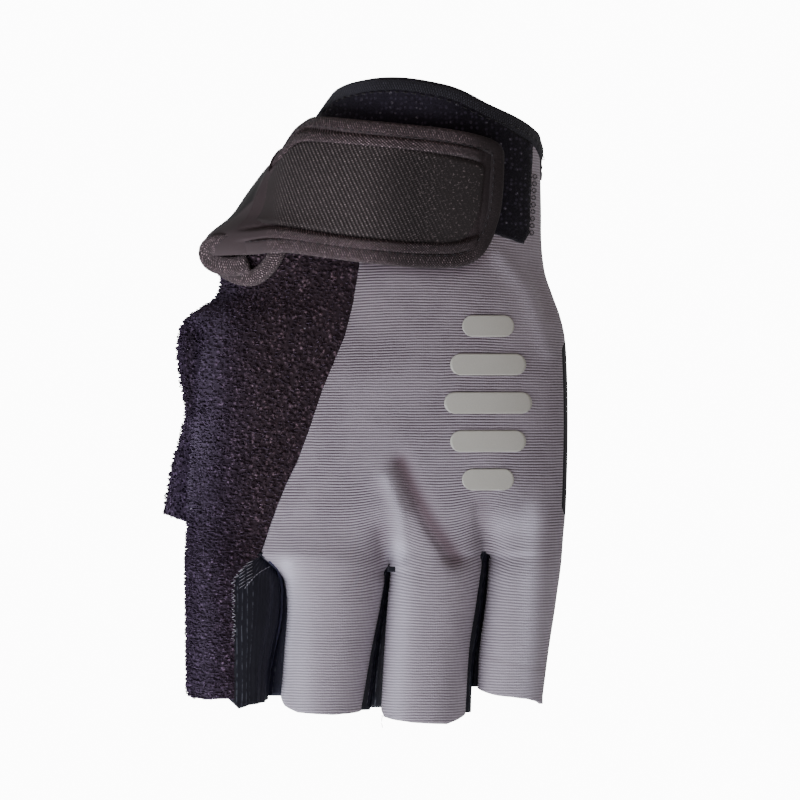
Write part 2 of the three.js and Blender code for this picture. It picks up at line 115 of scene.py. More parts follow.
# Hem of each finger on the back of the hand, from its thumb side to its little side: share across, height
HEMS = {
    "index": ((0.0, -145.6), (0.2, -147.6), (0.55, -147.6), (0.62, -149.8), (0.75, -149.2), (1.0, -147.2)),
    "middle": ((0.0, -147.4), (0.12, -149.4), (0.3, -151.0), (0.6, -151.5), (1.0, -151.0)),
    "ring": ((0.0, -150.4), (0.1, -152.2), (0.4, -153.5), (0.7, -153.9), (1.0, -151.6)),
    "little": ((0.0, -145.2), (0.3, -146.6), (0.6, -147.6), (1.0, -149.3)),
}

# Seam between terry and grey, seen from the back of the hand
TERRY_SEAM = (
    (-31.0, -18.2), (-38.5, -17.6), (-49.2, -19.4), (-56.7, -21.3), (-63.5, -24.2), (-70.3, -27.0),
    (-80.2, -30.3), (-87.5, -33.0), (-93.2, -35.8), (-98.5, -38.0), (-104.5, -40.2), (-111.4, -42.5),
)

# Finger slots: height of the slot's top on the back and on the palm
# and the line in which the strips of two neighbouring fingers touch
SLOTS = (
    {"name": "index_middle", "before": "index", "after": "middle", "top": -111.3, "palm_top": -108.0,
     "ramp": 7.0, "meeting": ((-113.0, -39.4), (-116.0, -38.0), (-119.0, -37.4), (-122.0, -37.3),
                              (-129.0, -37.8), (-134.0, -39.0), (-140.0, -40.3), (-147.0, -41.0))},
    {"name": "middle_ring", "before": "middle", "after": "ring", "top": -114.5, "palm_top": -110.0,
     "ramp": 1.6, "meeting": ((-114.0, -9.4), (-117.0, -10.1), (-123.0, -11.1), (-130.0, -12.5),
                              (-138.0, -13.8), (-151.0, -15.2))},
    {"name": "ring_little", "before": "ring", "after": "little", "top": -110.6, "palm_top": -107.0,
     "ramp": 1.6, "meeting": ((-110.0, 14.4), (-115.5, 14.2), (-123.0, 13.2), (-132.0, 12.2),
                              (-136.0, 11.4), (-140.0, 10.9), (-146.5, 10.4), (-152.0, 10.3))},
)
FINGERS = {"index": INDEX, "middle": MIDDLE, "ring": RING, "little": LITTLE}
BLEND_START = -99.0
BLEND_END = -118.0
BACK_LEVELS = ((0.7, -110.5), (0.74, -114.4))
PALM_LEVELS = ((0.72, -104.0),)

# Turns round a finger or the hand at which two cloths meet
FRONT_SEAM = math.radians(10)
REAR_SEAM = math.radians(38)
LITTLE_SIDE = math.radians(3)
THUMB_SEAM = math.radians(150)
INDEX_SIDE = math.radians(170)
HAND_SIDE = math.radians(176)

WRIST_EDGE = ((-31.0, -3.4), (-29.3, -0.2), (-24.2, 5.5), (-16.0, 7.6), (-8.2, 8.0), (0.0, 6.9), (7.8, 4.8),
              (17.0, -0.2), (26.3, -6.0), (27.6, -7.6), (35.0, -8.0))
PALM_EDGE_SIDE = -7.8
PALM_EDGE_MIDDLE = -13.2
TERRY_TOP = ((-70.0, -37.4), (-55.0, -37.8), (-51.0, -39.4), (-48.0, -40.9), (-44.5, -41.5), (-41.8, -40.1),
             (-39.5, -37.6), (-37.8, -34.6), (-36.0, -30.5), (-33.0, -27.0), (-18.0, -26.0))
SLIT_SIDE = ((-28.0, -34.6), (-20.0, -33.4), (-12.0, -31.8), (0.0, -29.6), (10.0, -29.3))

# Folds on the back of the glove: line seen from the back, reach either side, rise (below 0 is a dent),
# and painted shade (above 0) or painted light that also smooths the cloth (below 0) along it;
# rows without rise are only painted light or shade
FOLDS = (
    ("knuckle crease", ((-7.2, -88.0), (-4.6, -94.0), (0.2, -103.0), (6.6, -112.2)), 2.3, -1.6, 0.95),
    ("knuckle ridge", ((-11.0, -92.0), (-7.8, -101.0), (-7.5, -111.0)), 2.0, 1.1, -0.75),
    ("ring slot dent", ((13.0, -99.0), (14.0, -110.0)), 2.2, -1.1, 0.3),
    ("middle slot dent", ((-12.5, -105.0), (-12.2, -116.0)), 1.9, -1.1, 0.3),
    ("wrist ridge", ((17.0, -36.5), (24.0, -45.0), (29.0, -60.0)), 2.2, 0.9, -0.25),
    ("wrist dent", ((26.0, -38.0), (30.0, -50.0)), 2.0, -0.7, 0.15),
    ("thumb dent", ((-60.0, -55.0), (-60.4, -65.0), (-61.0, -74.0)), 2.0, -2.4, 0.6),
    ("thumb ridge", ((-56.2, -59.7), (-57.6, -64.7), (-58.4, -72.0), (-58.8, -81.0), (-60.6, -86.0),
                     (-60.8, -95.0)), 0.65, 0.6, -0.35),
    ("thumb's lit top", ((-59.5, -51.5), (-56.0, -47.0), (-51.0, -45.0)), 3.2, 0.0, -0.4),
    ("thumb's lit front", ((-54.6, -49.0), (-53.6, -56.0), (-55.2, -63.0), (-56.2, -84.0)), 3.2, 0.0, -0.4),
    ("thumb's lit end", ((-60.2, -82.0), (-61.6, -98.0)), 3.4, 0.0, -0.7),
    ("index finger's lit side", ((-56.6, -86.0), (-56.6, -100.0), (-57.0, -146.0)), 3.0, 0.0, -0.35),
    ("terry dent", ((-45.0, -46.0), (-52.0, -56.0)), 5.0, -0.9, 0.0),
    ("strap shade", ((-16.0, -38.4), (-5.0, -39.9), (2.0, -40.1), (8.0, -39.6), (13.0, -36.5)),
     1.9, 0.0, 0.65),
    ("middle finger's lit side", ((-36.2, -114.0), (-33.5, -124.0), (-32.5, -150.0)), 4.0, 0.0, -0.75),
    ("middle finger's lit edge", ((-36.0, -114.0), (-35.6, -124.0), (-36.4, -138.0), (-37.6, -151.0)),
     1.5, 0.0, -0.9),
    ("ring finger's lit side", ((-8.0, -111.0), (-7.0, -124.0), (-9.0, -152.0)), 3.0, 0.0, -0.8),
    ("little finger's lit side", ((19.0, -96.0), (20.5, -114.0), (19.0, -146.0)), 4.6, 0.0, -0.3),
    ("little finger's lit root", ((18.0, -104.0), (25.0, -104.0)), 3.0, 0.0, -0.5),
    ("little finger's lit edge", ((25.4, -100.0), (25.2, -114.0), (24.4, -146.0)), 2.6, 0.0, -0.9),
    ("little finger's hem line", ((13.2, -137.2), (20.0, -138.8), (29.4, -140.4)), 0.45, -0.2, 0.3),
)

# Places in a fold's row of its rise, and of its painted shade and light
FOLD_RISE = 3
FOLD_PAINTED_LIGHT_AND_SHADE = 4

# Strap edges on the back, from its end to the thumb side, then round to the palm by degrees of turn
STRAP = (
    (18.3, -12.6, 16.9, -27.6), (18.2, -10.4, 15.6, -31.8), (17.2, -8.8, 13.4, -35.8),
    (15.2, -7.6, 10.4, -38.3), (12.0, -6.6, 6.6, -39.4), (7.8, -5.7, 2.0, -39.6),
    (1.2, -4.7, -5.0, -39.4), (-8.5, -3.7, -12.0, -38.7),
    (-17.8, -2.8, -18.5, -38.0), (-25.0, -2.0, -26.0, -37.0), (-29.2, -1.9, -33.0, -36.0),
    (-32.5, -3.8, -39.0, -35.6), (-35.2, -6.2, -43.5, -36.0), (-37.6, -9.0, -48.0, -36.2),
    (-39.4, -11.8, -52.0, -36.3),
)
STRAP_BEHIND = ((174, -13.4, 181, -36.3), (158, -14.0, 163, -36.6), (134, -14.0, 140, -37.0),
                (108, -13.8, 114, -36.6))
FACE = (
    (13.2, -15.4, 12.4, -23.0), (12.8, -14.0, 10.6, -29.2), (10.6, -12.9, 8.2, -32.6),
    (7.0, -12.0, 4.2, -34.0), (-0.5, -10.4, -2.0, -34.2), (-8.5, -9.0, -9.0, -33.5),
    (-17.0, -8.0, -18.0, -32.0), (-25.0, -7.4, -27.0, -30.6), (-31.6, -7.6, -35.0, -29.3),
    (-35.6, -10.2, -41.0, -28.4), (-38.2, -14.0, -45.0, -28.0), (-40.0, -17.0, -48.0, -28.2),
)
# Line left of which the strap is plain and darkened by painted shadow: height, place
STRAP_SHADOW = (
    (-31.0, -56.0), (-29.8, -53.5), (-26.2, -48.0), (-22.5, -43.8), (-17.5, -41.8), (-13.0, -39.4),
)

# Tape round the slit, seen from the back, and the fold in which it turns out of the strap: x, y, z
SLIT_TAPE = (
    (-53.6, -37.9), (-51.0, -39.8), (-48.0, -41.4), (-44.5, -41.9), (-41.8, -40.6), (-39.5, -38.1),
    (-37.8, -35.1), (-36.2, -31.5), (-34.6, -25.0), (-33.2, -16.0), (-31.4, -8.0),
)
SLIT_FOLD = (
    (-43.0, -18.6, -33.2), (-46.5, -17.2, -33.4), (-50.0, -15.2, -33.3), (-53.0, -12.8, -33.4),
    (-55.2, -10.8, -34.0), (-56.0, -9.9, -35.4), (-55.3, -10.2, -37.2), (-53.4, -11.6, -38.4),
    (-50.6, -13.6, -38.9), (-47.6, -15.4, -38.9), (-45.4, -16.2, -38.2),
)

# Heights between which the thumb opens into the hand, and the thickness of its cloth there
THUMB_ROOT = (-104, -56)
THUMB_WALL = 0.8

# Thickness of the cloths
CLOTH = {"knit": 1.1, "terry": 1.7, "lycra": 0.8, "palm": 1.4, "strap": 1.5}
LOOP_PATCH_LIFT = 0.9
STRIP = {"tuck": 0.07, "sink": 0.7, "overlap": 0.12}
STRAP_LIFT = 3.2

# Tapes: width, thickness, share of the thickness sunk below the line they follow
TAPES = {
    "cuff": (4.4, 2.9, 0.68), "strap": (3.7, 2.4, 0.62), "slit": (4.2, 1.8, 0.4),
    "slit_fold": (4.9, 1.9, 0.5), "slot_fold": (0.6, 0.45), "slot_top": (1.3, 0.7),
}

# Rows of stitches: length of a stitch, gap, thickness of the thread, and height over the tape
STITCH_ROWS = {"strap": (1.3, 0.7, 0.14, 0.2), "cuff": (1.4, 0.8, 0.15, 0.0)}

LOOPS = {"spacing": 0.96, "height": 0.7, "thread": 0.17, "sides": 4, "steps": 4}
BARS = {"count": 5, "x": 14.5, "top": -54.0, "pitch": 9.6, "height": 5.4, "widths": (13, 19, 22, 19, 13)}

# Thread in the first slot: zigzag along the terry's edge, fan of lines and an arc, seen from the back
SLOT_OUTWARD = (0.35, -0.94, 0.0)
OVERLOCK = {"top": -113.0, "foot": -134.0, "pitch": 0.62, "reach": (1.9, 0.5), "thread": 0.11}
FAN = {
    "count": 6, "pitch": 0.85, "line": ((-48.0, -115.5), (-46.2, -114.3), (-44.4, -113.3)),
    "arc": ((-46.6, -119.8), (-45.0, -117.8), (-43.2, -116.0), (-41.4, -114.9), (-40.2, -114.3)),
}

# Loose thread that hangs at the middle finger's hem
BACKWARD = (0, -1, 0)
LOOSE_THREAD = ((-12.4, -11.6, -151.7), (-10.8, -11.8, -152.0), (-9.4, -11.7, -151.8))
LOOSE_END = ((-11.9, -11.2, -151.6), (-12.2, -11.4, -153.4), (-11.8, -11.5, -155.0))

# Rings beside the loop patch
RINGS = {"count": 9, "x": 26.3, "lean": 0.1, "top": -16.4, "pitch": 1.76, "radius": 0.55, "thread": 0.15}

# Dark cords down the wrist's right edge: top, foot, place, thickness
WRIST_RIGHT = ((-9.0, -17.3, 28.0, 0.8), (-17.0, -29.0, 27.75, 0.4))

# Backdrop in metres, and its glow as the camera sees it and as it lights the glove
BACKDROP = {
    "start": -4.5, "floor": 6.0, "radius": 1.0, "height": -0.75, "width": 14.0, "length": 10.0,
    "seen": 12.0, "given": 0.3,
}

# Lamps: name, place in metres, size in metres, power in watts, tint
LAMPS = (
    ("key_lamp", (-0.36, -0.25, -0.35), 0.3, 3.1, (0.93, 0.95, 1.0)),
    ("foot_lamp", (0.22, -0.36, -0.42), 0.3, 0.55, (0.85, 0.9, 1.0)),
    ("fill_lamp", (0.6, -1.0, 0.5), 0.9, 3.0, (1.0, 0.82, 0.74)),
)
SKY = 0.1

# Camera distance in metres from the front of the glove; middle and width of the picture in mm
CAMERA_DISTANCE = 1.6
GLOVE_FRONT = 0.018
PHOTO_MIDDLE = (-7.5, -72.5)
PHOTO_MM = 200.0


# Tints of painted light and shade on the cloth, of loose fibres and of threads
TINTS = {
    "knit_painted_top_shade": (0.20, 0.155, 0.16),
    "lit_knit": (0.56, 0.535, 0.64),
    "lit_terry": (0.172, 0.140, 0.206),
    "lint": (0.42, 0.38, 0.45),
    "wrinkle": (0.062, 0.066, 0.085),
    "fibre": (0.24, 0.22, 0.26),
    "dark_thread": (0.012, 0.010, 0.014),
    "grey_thread": (0.30, 0.29, 0.34),
    "paper": (0.93, 0.93, 0.93),
}


def colour_setting(name, description, default):
    """Setting that holds a colour"""
    return bpy.props.FloatVectorProperty(
        name=name, description=description, default=default, subtype="COLOR")


class GloveColours(bpy.types.PropertyGroup):
    """Colours of the cloths"""
    knit: colour_setting("Knit", "Colour of the grey ribbed back", (0.37, 0.33, 0.385))
    knit_line: colour_setting("Knit line", "Colour of the sunk lines between ribs", (0.07, 0.05, 0.065))
    # Knit crease is the painted shade colour of the knit in its creases, dents and under the strap
    knit_crease_painted_shade: colour_setting("Knit crease", "Colour of the knit deep in its creases", (0.13, 0.088, 0.105))
    terry: colour_setting("Terry", "Colour of the terry cloth", (0.058, 0.038, 0.047))
    terry_side: colour_setting("Terry side", "Colour of the terry towards the thumb", (0.056, 0.038, 0.070))
    lycra: colour_setting("Lycra", "Colour of the strips in the finger slots", (0.008, 0.008, 0.017))
    palm: colour_setting("Palm", "Colour of the palm", (0.010, 0.009, 0.012))
    tape: colour_setting("Tape", "Colour of the binding tape", (0.054, 0.040, 0.044))
    cuff: colour_setting("Cuff", "Colour of the tape over the wrist edge", (0.018, 0.017, 0.023))
    face: colour_setting("Strap face", "Colour of the strap's woven face", (0.038, 0.031, 0.032))
    loop: colour_setting("Loop", "Colour of the hook and loop", (0.006, 0.005, 0.008))
    film: colour_setting("Film", "Colour of the reflective bars", (0.43, 0.42, 0.385))


class GloveSizes(bpy.types.PropertyGroup):
    """Sizes of the cloth's detail"""
    rib_pitch: bpy.props.FloatProperty(
        name="Rib pitch", description="Distance between two knit ribs in millimetres", default=0.7, min=0.4)
    loop_size: bpy.props.FloatProperty(
        name="Terry loop", description="Size of a terry loop in millimetres", default=1.15, min=0.3)
    weave_pitch: bpy.props.FloatProperty(
        name="Weave pitch", description="Distance between two yarns of the tape in millimetres",
        default=0.65, min=0.2)
    twill_pitch: bpy.props.FloatProperty(
        name="Twill pitch", description="Distance between two dotted rows of the strap's face in millimetres",
        default=1.0, min=0.2)
    film_lift: bpy.props.FloatProperty(
        name="Film lift", description="Height of the reflective bars over the knit in millimetres",
        default=0.28, min=0.05)


# Shape of the hand and the fingers

def table_at(rows, z):
    """Every column of a section table at heights z, on a smooth curve through its rows"""
    table = np.array(rows)
    z = np.asarray(z, dtype=float)
    last = len(table) - 1
    row = np.clip(np.searchsorted(-table[:, 0], -z, side="right") - 1, 0, last - 1)
    low = table[np.maximum(row - 1, 0)]
    start = table[row]
    end = table[row + 1]
    high = table[np.minimum(row + 2, last)]
    span = end[..., 0] - start[..., 0]
    t = np.clip((z - start[..., 0]) / span, 0, 1)[..., None]
    before = (end - low) * (span / (end[..., 0] - low[..., 0]))[..., None]
    after = (high - start) * (span / (high[..., 0] - start[..., 0]))[..., None]
    smooth = t * t * (3 - 2 * t)
    values = start + (end - start) * smooth + t * (1 - t) * ((1 - t) * before - t * after)
    return {name: values[..., place] for place, name in enumerate(SECTION)}


def unit(vectors):
    """Vectors brought to length 1"""
    return vectors / np.linalg.norm(vectors, axis=-1)[..., None]


def signed_power(value, power):
    """Power of a value's size with its sign kept"""
    return np.sign(value) * np.abs(value) ** power


def smoothstep(value):
    """Smooth step from 0 to 1 while the value goes from 0 to 1"""
    t = np.clip(value, 0, 1)
    return t * t * (3 - 2 * t)


def section(rows, z, lift=0.0):
    """Middle and half widths of a limb at heights z"""
    row = table_at(rows, z)
    return ((row["left"] + row["right"]) / 2, (row["front"] + row["back"]) / 2,
            (row["right"] - row["left"]) / 2 + lift, (row["back"] - row["front"]) / 2 + lift)


def limb_point(rows, z, angle, roundness, lift=0.0):
    """Points round a limb: half a turn is the thumb side, three quarters the back of the hand"""
    centre_x, centre_y, half_x, half_y = section(rows, z, lift)
    x = centre_x + half_x * signed_power(np.cos(angle), 2 / roundness)
    y = centre_y + half_y * signed_power(np.sin(angle), 2 / roundness)
    return np.stack(np.broadcast_arrays(x, y, z), axis=-1)


def angle_at_x(rows, z, x, roundness, palm_side=False, lift=0.0):
    """Angle round a limb at which it reaches x on its back or its palm side"""
    centre_x, _, half_x, _ = section(rows, z, lift)
    turn = np.arccos(signed_power(np.clip((x - centre_x) / half_x, -1, 1), roundness / 2))
    return np.where(palm_side, turn, 2 * np.pi - turn)


def finger_angle_at_x(name, z, x):
    """Angle round a finger at which its back lies at x"""
    return angle_at_x(FINGERS[name], z, x, FINGER_ROUNDNESS)


def hand_weight(z):
    """How far a row has turned from the hand's section into the fingers' own"""
    return smoothstep((BLEND_START - z) / (BLEND_START - BLEND_END))


def mix(a, b, weight):
    """Points between a and b, at b where the weight is 1"""
    weight = np.asarray(weight)[..., None]
    return a * (1 - weight) + b * weight


def seam_x(z):
    """Place of the seam between the terry and the grey back at a height"""
    rows = np.array(TERRY_SEAM)
    return np.interp(-np.asarray(z), -rows[:, 0], rows[:, 1])


def fold_sum(x, z, value):
    """Sum of one value of all folds, their rise or their painted shade and light, at places seen from the
    back
    """
    total = np.zeros(np.broadcast(x, z).shape)
    for fold in FOLDS:
        away = np.full(total.shape, 1e3)
        for start, end in zip(fold[1][:-1], fold[1][1:]):
            along = np.array(end) - np.array(start)
            share = ((x - start[0]) * along[0] + (z - start[1]) * along[1]) / np.dot(along, along)
            near = np.clip(share, 0, 1)
            beside = x - start[0] - near * along[0]
            above = z - start[1] - near * along[1]
            away = np.minimum(away, np.hypot(beside, above))
        total += fold[value] * np.exp(-(away / fold[2]) ** 2)
    return total


def painted_fold_shade(x, y, z):
    """Painted shade in the creases and dents and under the strap"""
    return np.clip(fold_sum(x, z, FOLD_PAINTED_LIGHT_AND_SHADE), 0, 1) * (y < 0)


def painted_fold_light(x, y, z):
    """Painted light on the ridges and on the lit sides of the fingers and the thumb, where the cloth is also
    drawn smooth
    """
    return np.clip(-fold_sum(x, z, FOLD_PAINTED_LIGHT_AND_SHADE), 0, 2) * (y < 0)


def soft_noise(x, z, size, seed):
    """Smooth repeatable unevenness between -1 and 1"""
    value = np.zeros(np.broadcast(x, z).shape)
    for octave in range(3):
        scale = 2 ** octave / size
        across = np.sin(x * scale * 2.1 + seed * 1.7 + octave)
        down = np.sin(z * scale * 1.9 + seed * 0.9 - octave)
        slanted = np.sin((x + z) * scale * 1.3 + seed * 2.3)
        value += (across * down + slanted) / (2.2 * 2 ** octave)
    return value / 1.7


def shared_edge(slot, z, rear):
    """Line in which two neighbouring finger panels meet above a slot"""
    if slot["name"] == "index_middle" and not rear:
        return seam_edge(z)
    before = FINGERS[slot["before"]]
    after = FINGERS[slot["after"]]
    x = slot_line_x(slot, z)
    hand = limb_point(HAND, z, angle_at_x(HAND, z, x, HAND_ROUNDNESS, rear), HAND_ROUNDNESS)
    seam = REAR_SEAM if rear else -FRONT_SEAM
    left = limb_point(before, z, seam, FINGER_ROUNDNESS)
    right = limb_point(after, z, np.pi - seam, FINGER_ROUNDNESS)
    return mix(hand, (left + right) / 2, hand_weight(z))


def seam_edge(z):
    """Line in which terry and grey meet, from the slit to the top of the first slot"""
    x = np.where(z > -28, slit_side(z), seam_x(np.maximum(z, SLOTS[0]["top"])))
    x = np.where((z > -31) & (z <= -28), slit_side(-28) + (seam_x(-31) - slit_side(-28)) * (-28 - z) / 3, x)
    row = table_at(HAND, z)
    x = np.maximum(x, np.where(z > -28, row["left"] + 0.0075 * (row["right"] - row["left"]), -100))
    hand = limb_point(HAND, z, angle_at_x(HAND, z, x, HAND_ROUNDNESS), HAND_ROUNDNESS)
    finger = limb_point(INDEX, z, finger_angle_at_x("index", z, x), FINGER_ROUNDNESS)
    return mix(hand, finger, hand_weight(z) * 0.8)


def slit_side(z):
    """Edge of the back beside the wrist slit"""
    return np.interp(z, *zip(*SLIT_SIDE))


def index_front_seam(z):
    """Angle of the seam between terry and lycra on the index finger"""
    arch = finger_angle_at_x("index", z, seam_x(SLOTS[0]["top"]))
    level = finger_angle_at_x("index", z, -49.0)
    return arch + (level - arch) * smoothstep((SLOTS[0]["top"] - z) / 7.5) ** 0.42


def slot_edge(slot, side, z, rear):
    """Edge of the panel before or after a slot: shared above the slot, its own below it"""
    name = slot[side]
    if side == "before":
        angle = REAR_SEAM if rear else -FRONT_SEAM
        if name == "index" and not rear:
            angle = index_front_seam(z)
    else:
        angle = np.pi - (REAR_SEAM if rear else -FRONT_SEAM)
    own = limb_point(FINGERS[name], z, angle, FINGER_ROUNDNESS)
    top = slot["palm_top"] if rear else slot["top"]
    ramp = smoothstep((top - z) / slot["ramp"]) ** 0.6
    if name == "index" and not rear:
        ramp = smoothstep((top - z) / 1.5)
    return mix(shared_edge(slot, z, rear), own, ramp)


def hem_height(name, share):
    """Height of a finger's hem at a share of the way round its back"""
    return np.interp(share, *zip(*HEMS[name]))


# Mesh helpers

def mapped_grid(name, columns, rows, place, thick=0.0, outward=None, uv=None, close=False):
    """Grid from a bmesh operator whose corners are moved by place(u, v), with a UV map in millimetres"""
    bm = bmesh.new()
    bmesh.ops.create_grid(bm, x_segments=columns, y_segments=rows, size=0.5)
    bm.verts.ensure_lookup_table()
    flat = np.array([vert.co[:2] for vert in bm.verts]) + 0.5
    points = place(flat[:, 0], flat[:, 1])
    pattern = uv(flat[:, 0], flat[:, 1]) if uv else flat_pattern(points)
    layer = bm.loops.layers.uv.new("cloth")
    for face in bm.faces:
        for loop in face.loops:
            loop[layer].uv = pattern[loop.vert.index]
    for vert, point in zip(bm.verts, points):
        vert.co = point * MM
    if close:
        bmesh.ops.remove_doubles(bm, verts=bm.verts, dist=1e-6)
    face_outward(bm, outward)
    return finish_piece(name, mesh_from(name, bm), thick)


def flat_pattern(points):
    """Pattern place that is the same as the place seen from the back"""
    return np.stack([points[:, 0], points[:, 2]], axis=-1)


def face_outward(bm, outward):
    """Turn all faces so that the sheet looks away from the point outward names"""
    if outward is None:
        bmesh.ops.recalc_face_normals(bm, faces=bm.faces)
        return
    bm.normal_update()
    votes = 0.0
    for face in bm.faces:
        centre = np.array(face.calc_center_median()) / MM
        votes += np.dot(np.array(face.normal), centre - outward(centre)) * face.calc_area()
    if votes < 0:
        bmesh.ops.reverse_faces(bm, faces=bm.faces)


def hand_axis(point):
    """Middle of the hand at a point's height"""
    x, y, _, _ = section(HAND, np.clip(point[2], *HAND_REACH))
    return np.array([x, y, point[2]])


def mesh_from(name, bm):
    """New mesh with what bm holds"""
    mesh = bpy.data.meshes.new(name)
    bm.to_mesh(mesh)
    bm.free()
    return mesh


@contextlib.contextmanager
def edited(mesh):
    """Open a mesh for editing and write it back"""
    bm = bmesh.new()
    bm.from_mesh(mesh)
    yield bm
    bm.to_mesh(mesh)
    bm.free()


def finish_piece(name, mesh, thick=0.0):
    """Object of a mesh, smooth and with a wall as thick as its cloth"""
    piece = bpy.data.objects.new(name, mesh)
    bpy.context.scene.collection.objects.link(piece)
    for polygon in mesh.polygons:
        polygon.use_smooth = True
    if thick:
        wall = piece.modifiers.new("wall", "SOLIDIFY")
        wall.thickness = thick * MM
        wall.offset = -1
        wall.use_even_offset = False
    return piece


def join_pieces(name, pieces, thick=0.0):
    """Join finished pieces into one object"""
    bm = bmesh.new()
    for piece in pieces:
        bm.from_mesh(piece.data)
    bmesh.ops.remove_doubles(bm, verts=bm.verts, dist=2e-5)
    mesh = mesh_from(name, bm)
    for piece in pieces:
        old = piece.data
        bpy.data.objects.remove(piece)
        bpy.data.meshes.remove(old)
    return finish_piece(name, mesh, thick)


def settle(piece, slot, nodes=(), finish=None):
    """Give a piece its material and its body, and hide the frame nodes that it stands for"""
    piece.data.materials.clear()
    piece.data.materials.append(material(finish or slot))
    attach(piece, "root")
    if nodes:
        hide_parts(*nodes)


def length_along(points):
    """Length of a line from its start to each of its points"""
    return np.concatenate([[0], np.cumsum(np.linalg.norm(np.diff(points, axis=0), axis=1))])


def sweep_tape(name, path, normals, width, thick, drop=0.5, corners=14):
    """Rounded flat band along a path, with the share drop of its thickness sunk below the path"""
    path = np.array(path)
    normals = np.array(normals)
    along = unit(np.gradient(path, axis=0))
    side = unit(np.cross(along, normals))
    out = np.cross(side, along)
    length = length_along(path)
    rows = len(path) - 1

    def place(u, v):
        row = np.rint(v * rows).astype(int)
        angle = 2 * np.pi * u
        across = signed_power(np.cos(angle), 0.55) * width / 2
        up = signed_power(np.sin(angle), 0.75) * thick / 2 + thick * (0.5 - drop)
        return path[row] + side[row] * across[:, None] + out[row] * up[:, None]

    def pattern(u, v):
        row = np.rint(v * rows).astype(int)
        return np.stack([u * 2 * (width + thick), length[row]], axis=-1)

    piece = mapped_grid(name, corners, rows, place, uv=pattern, close=True)
    with edited(piece.data) as bm:
        ends = [edge for edge in bm.edges if edge.is_boundary]
        if ends:
            bmesh.ops.holes_fill(bm, edges=ends, sides=0)
        bmesh.ops.recalc_face_normals(bm, faces=bm.faces)
    return piece


def resample(points, step):
    """Evenly spaced points on a smooth line through given ones"""
    points = np.array(points, dtype=float)
    padded = np.vstack([2 * points[0] - points[1], points, 2 * points[-1] - points[-2]])
    fine = []
    for place in range(1, len(padded) - 2):
        a, b, c, d = padded[place - 1:place + 3]
        for t in np.linspace(0, 1, 12, endpoint=False):
            fine.append(curve(a, b, c, d, t))
    fine.append(points[-1])
    fine = np.array(fine)
    length = length_along(fine)
    count = max(2, int(round(length[-1] / step)))
    even = np.linspace(0, length[-1], count + 1)
    return np.stack([np.interp(even, length, fine[:, axis]) for axis in range(points.shape[1])], axis=-1)


def hand_normal(z, angle, lift):
    """Outward direction of the hand's surface, from points close round a place"""
    turn = 0.02
    rise = 1.5
    along = (limb_point(HAND, z, angle + turn, HAND_ROUNDNESS, lift)
             - limb_point(HAND, z, angle - turn, HAND_ROUNDNESS, lift))
    up = (limb_point(HAND, z + rise, angle, HAND_ROUNDNESS, lift)
          - limb_point(HAND, z - rise, angle, HAND_ROUNDNESS, lift))
    return unit(np.cross(along, up))


def on_hand(x, z, lift=0.0, reach=0.985):
    """Point and outward direction on the hand's surface at a place seen from the back"""
    centre, _, half, _ = section(HAND, z, lift)
    near = centre + np.clip((x - centre) / half, -reach, reach) * half
    angle = angle_at_x(HAND, z, near, HAND_ROUNDNESS, False, lift)
    point = limb_point(HAND, z, angle, HAND_ROUNDNESS, lift)
    point = np.stack([np.broadcast_to(x, point[..., 0].shape), point[..., 1], point[..., 2]], axis=-1)
    return point, hand_normal(z, angle, lift)


def add_bead(bm, start, end, out, radius):
    """One stitch: a drop of thread between two points"""
    length = np.linalg.norm(end - start)
    ahead = (end - start) / length
    side = unit(np.cross(ahead, out))
    middle = (start + end) / 2 + out * radius * 0.9
    for vert in bmesh.ops.create_icosphere(bm, subdivisions=1, radius=1.0)["verts"]:
        a, b, c = vert.co
        vert.co = (middle + ahead * a * length / 2 + side * b * radius + out * c * radius) * MM


def stitch_row(name, path, normals, length, gap, radius, lift=0.0):
    """Row of short thread stitches along a path"""
    path, out = even_path(path, normals, length + gap)
    bm = bmesh.new()
    for place in range(len(path) - 1):
        start = path[place] + out[place] * lift
        end = start + (path[place + 1] - path[place]) * length / (length + gap)
        add_bead(bm, start, end, out[place], radius)
    return finish_piece(name, mesh_from(name, bm))


def thread_line(name, points, out, radius):
    """Thread drawn from point to point, as in a zigzag or a ring"""
    bm = bmesh.new()
    for start, end in zip(points[:-1], points[1:]):
        add_bead(bm, np.array(start), np.array(end), np.array(out), radius)
    return finish_piece(name, mesh_from(name, bm))


# Shader helpers

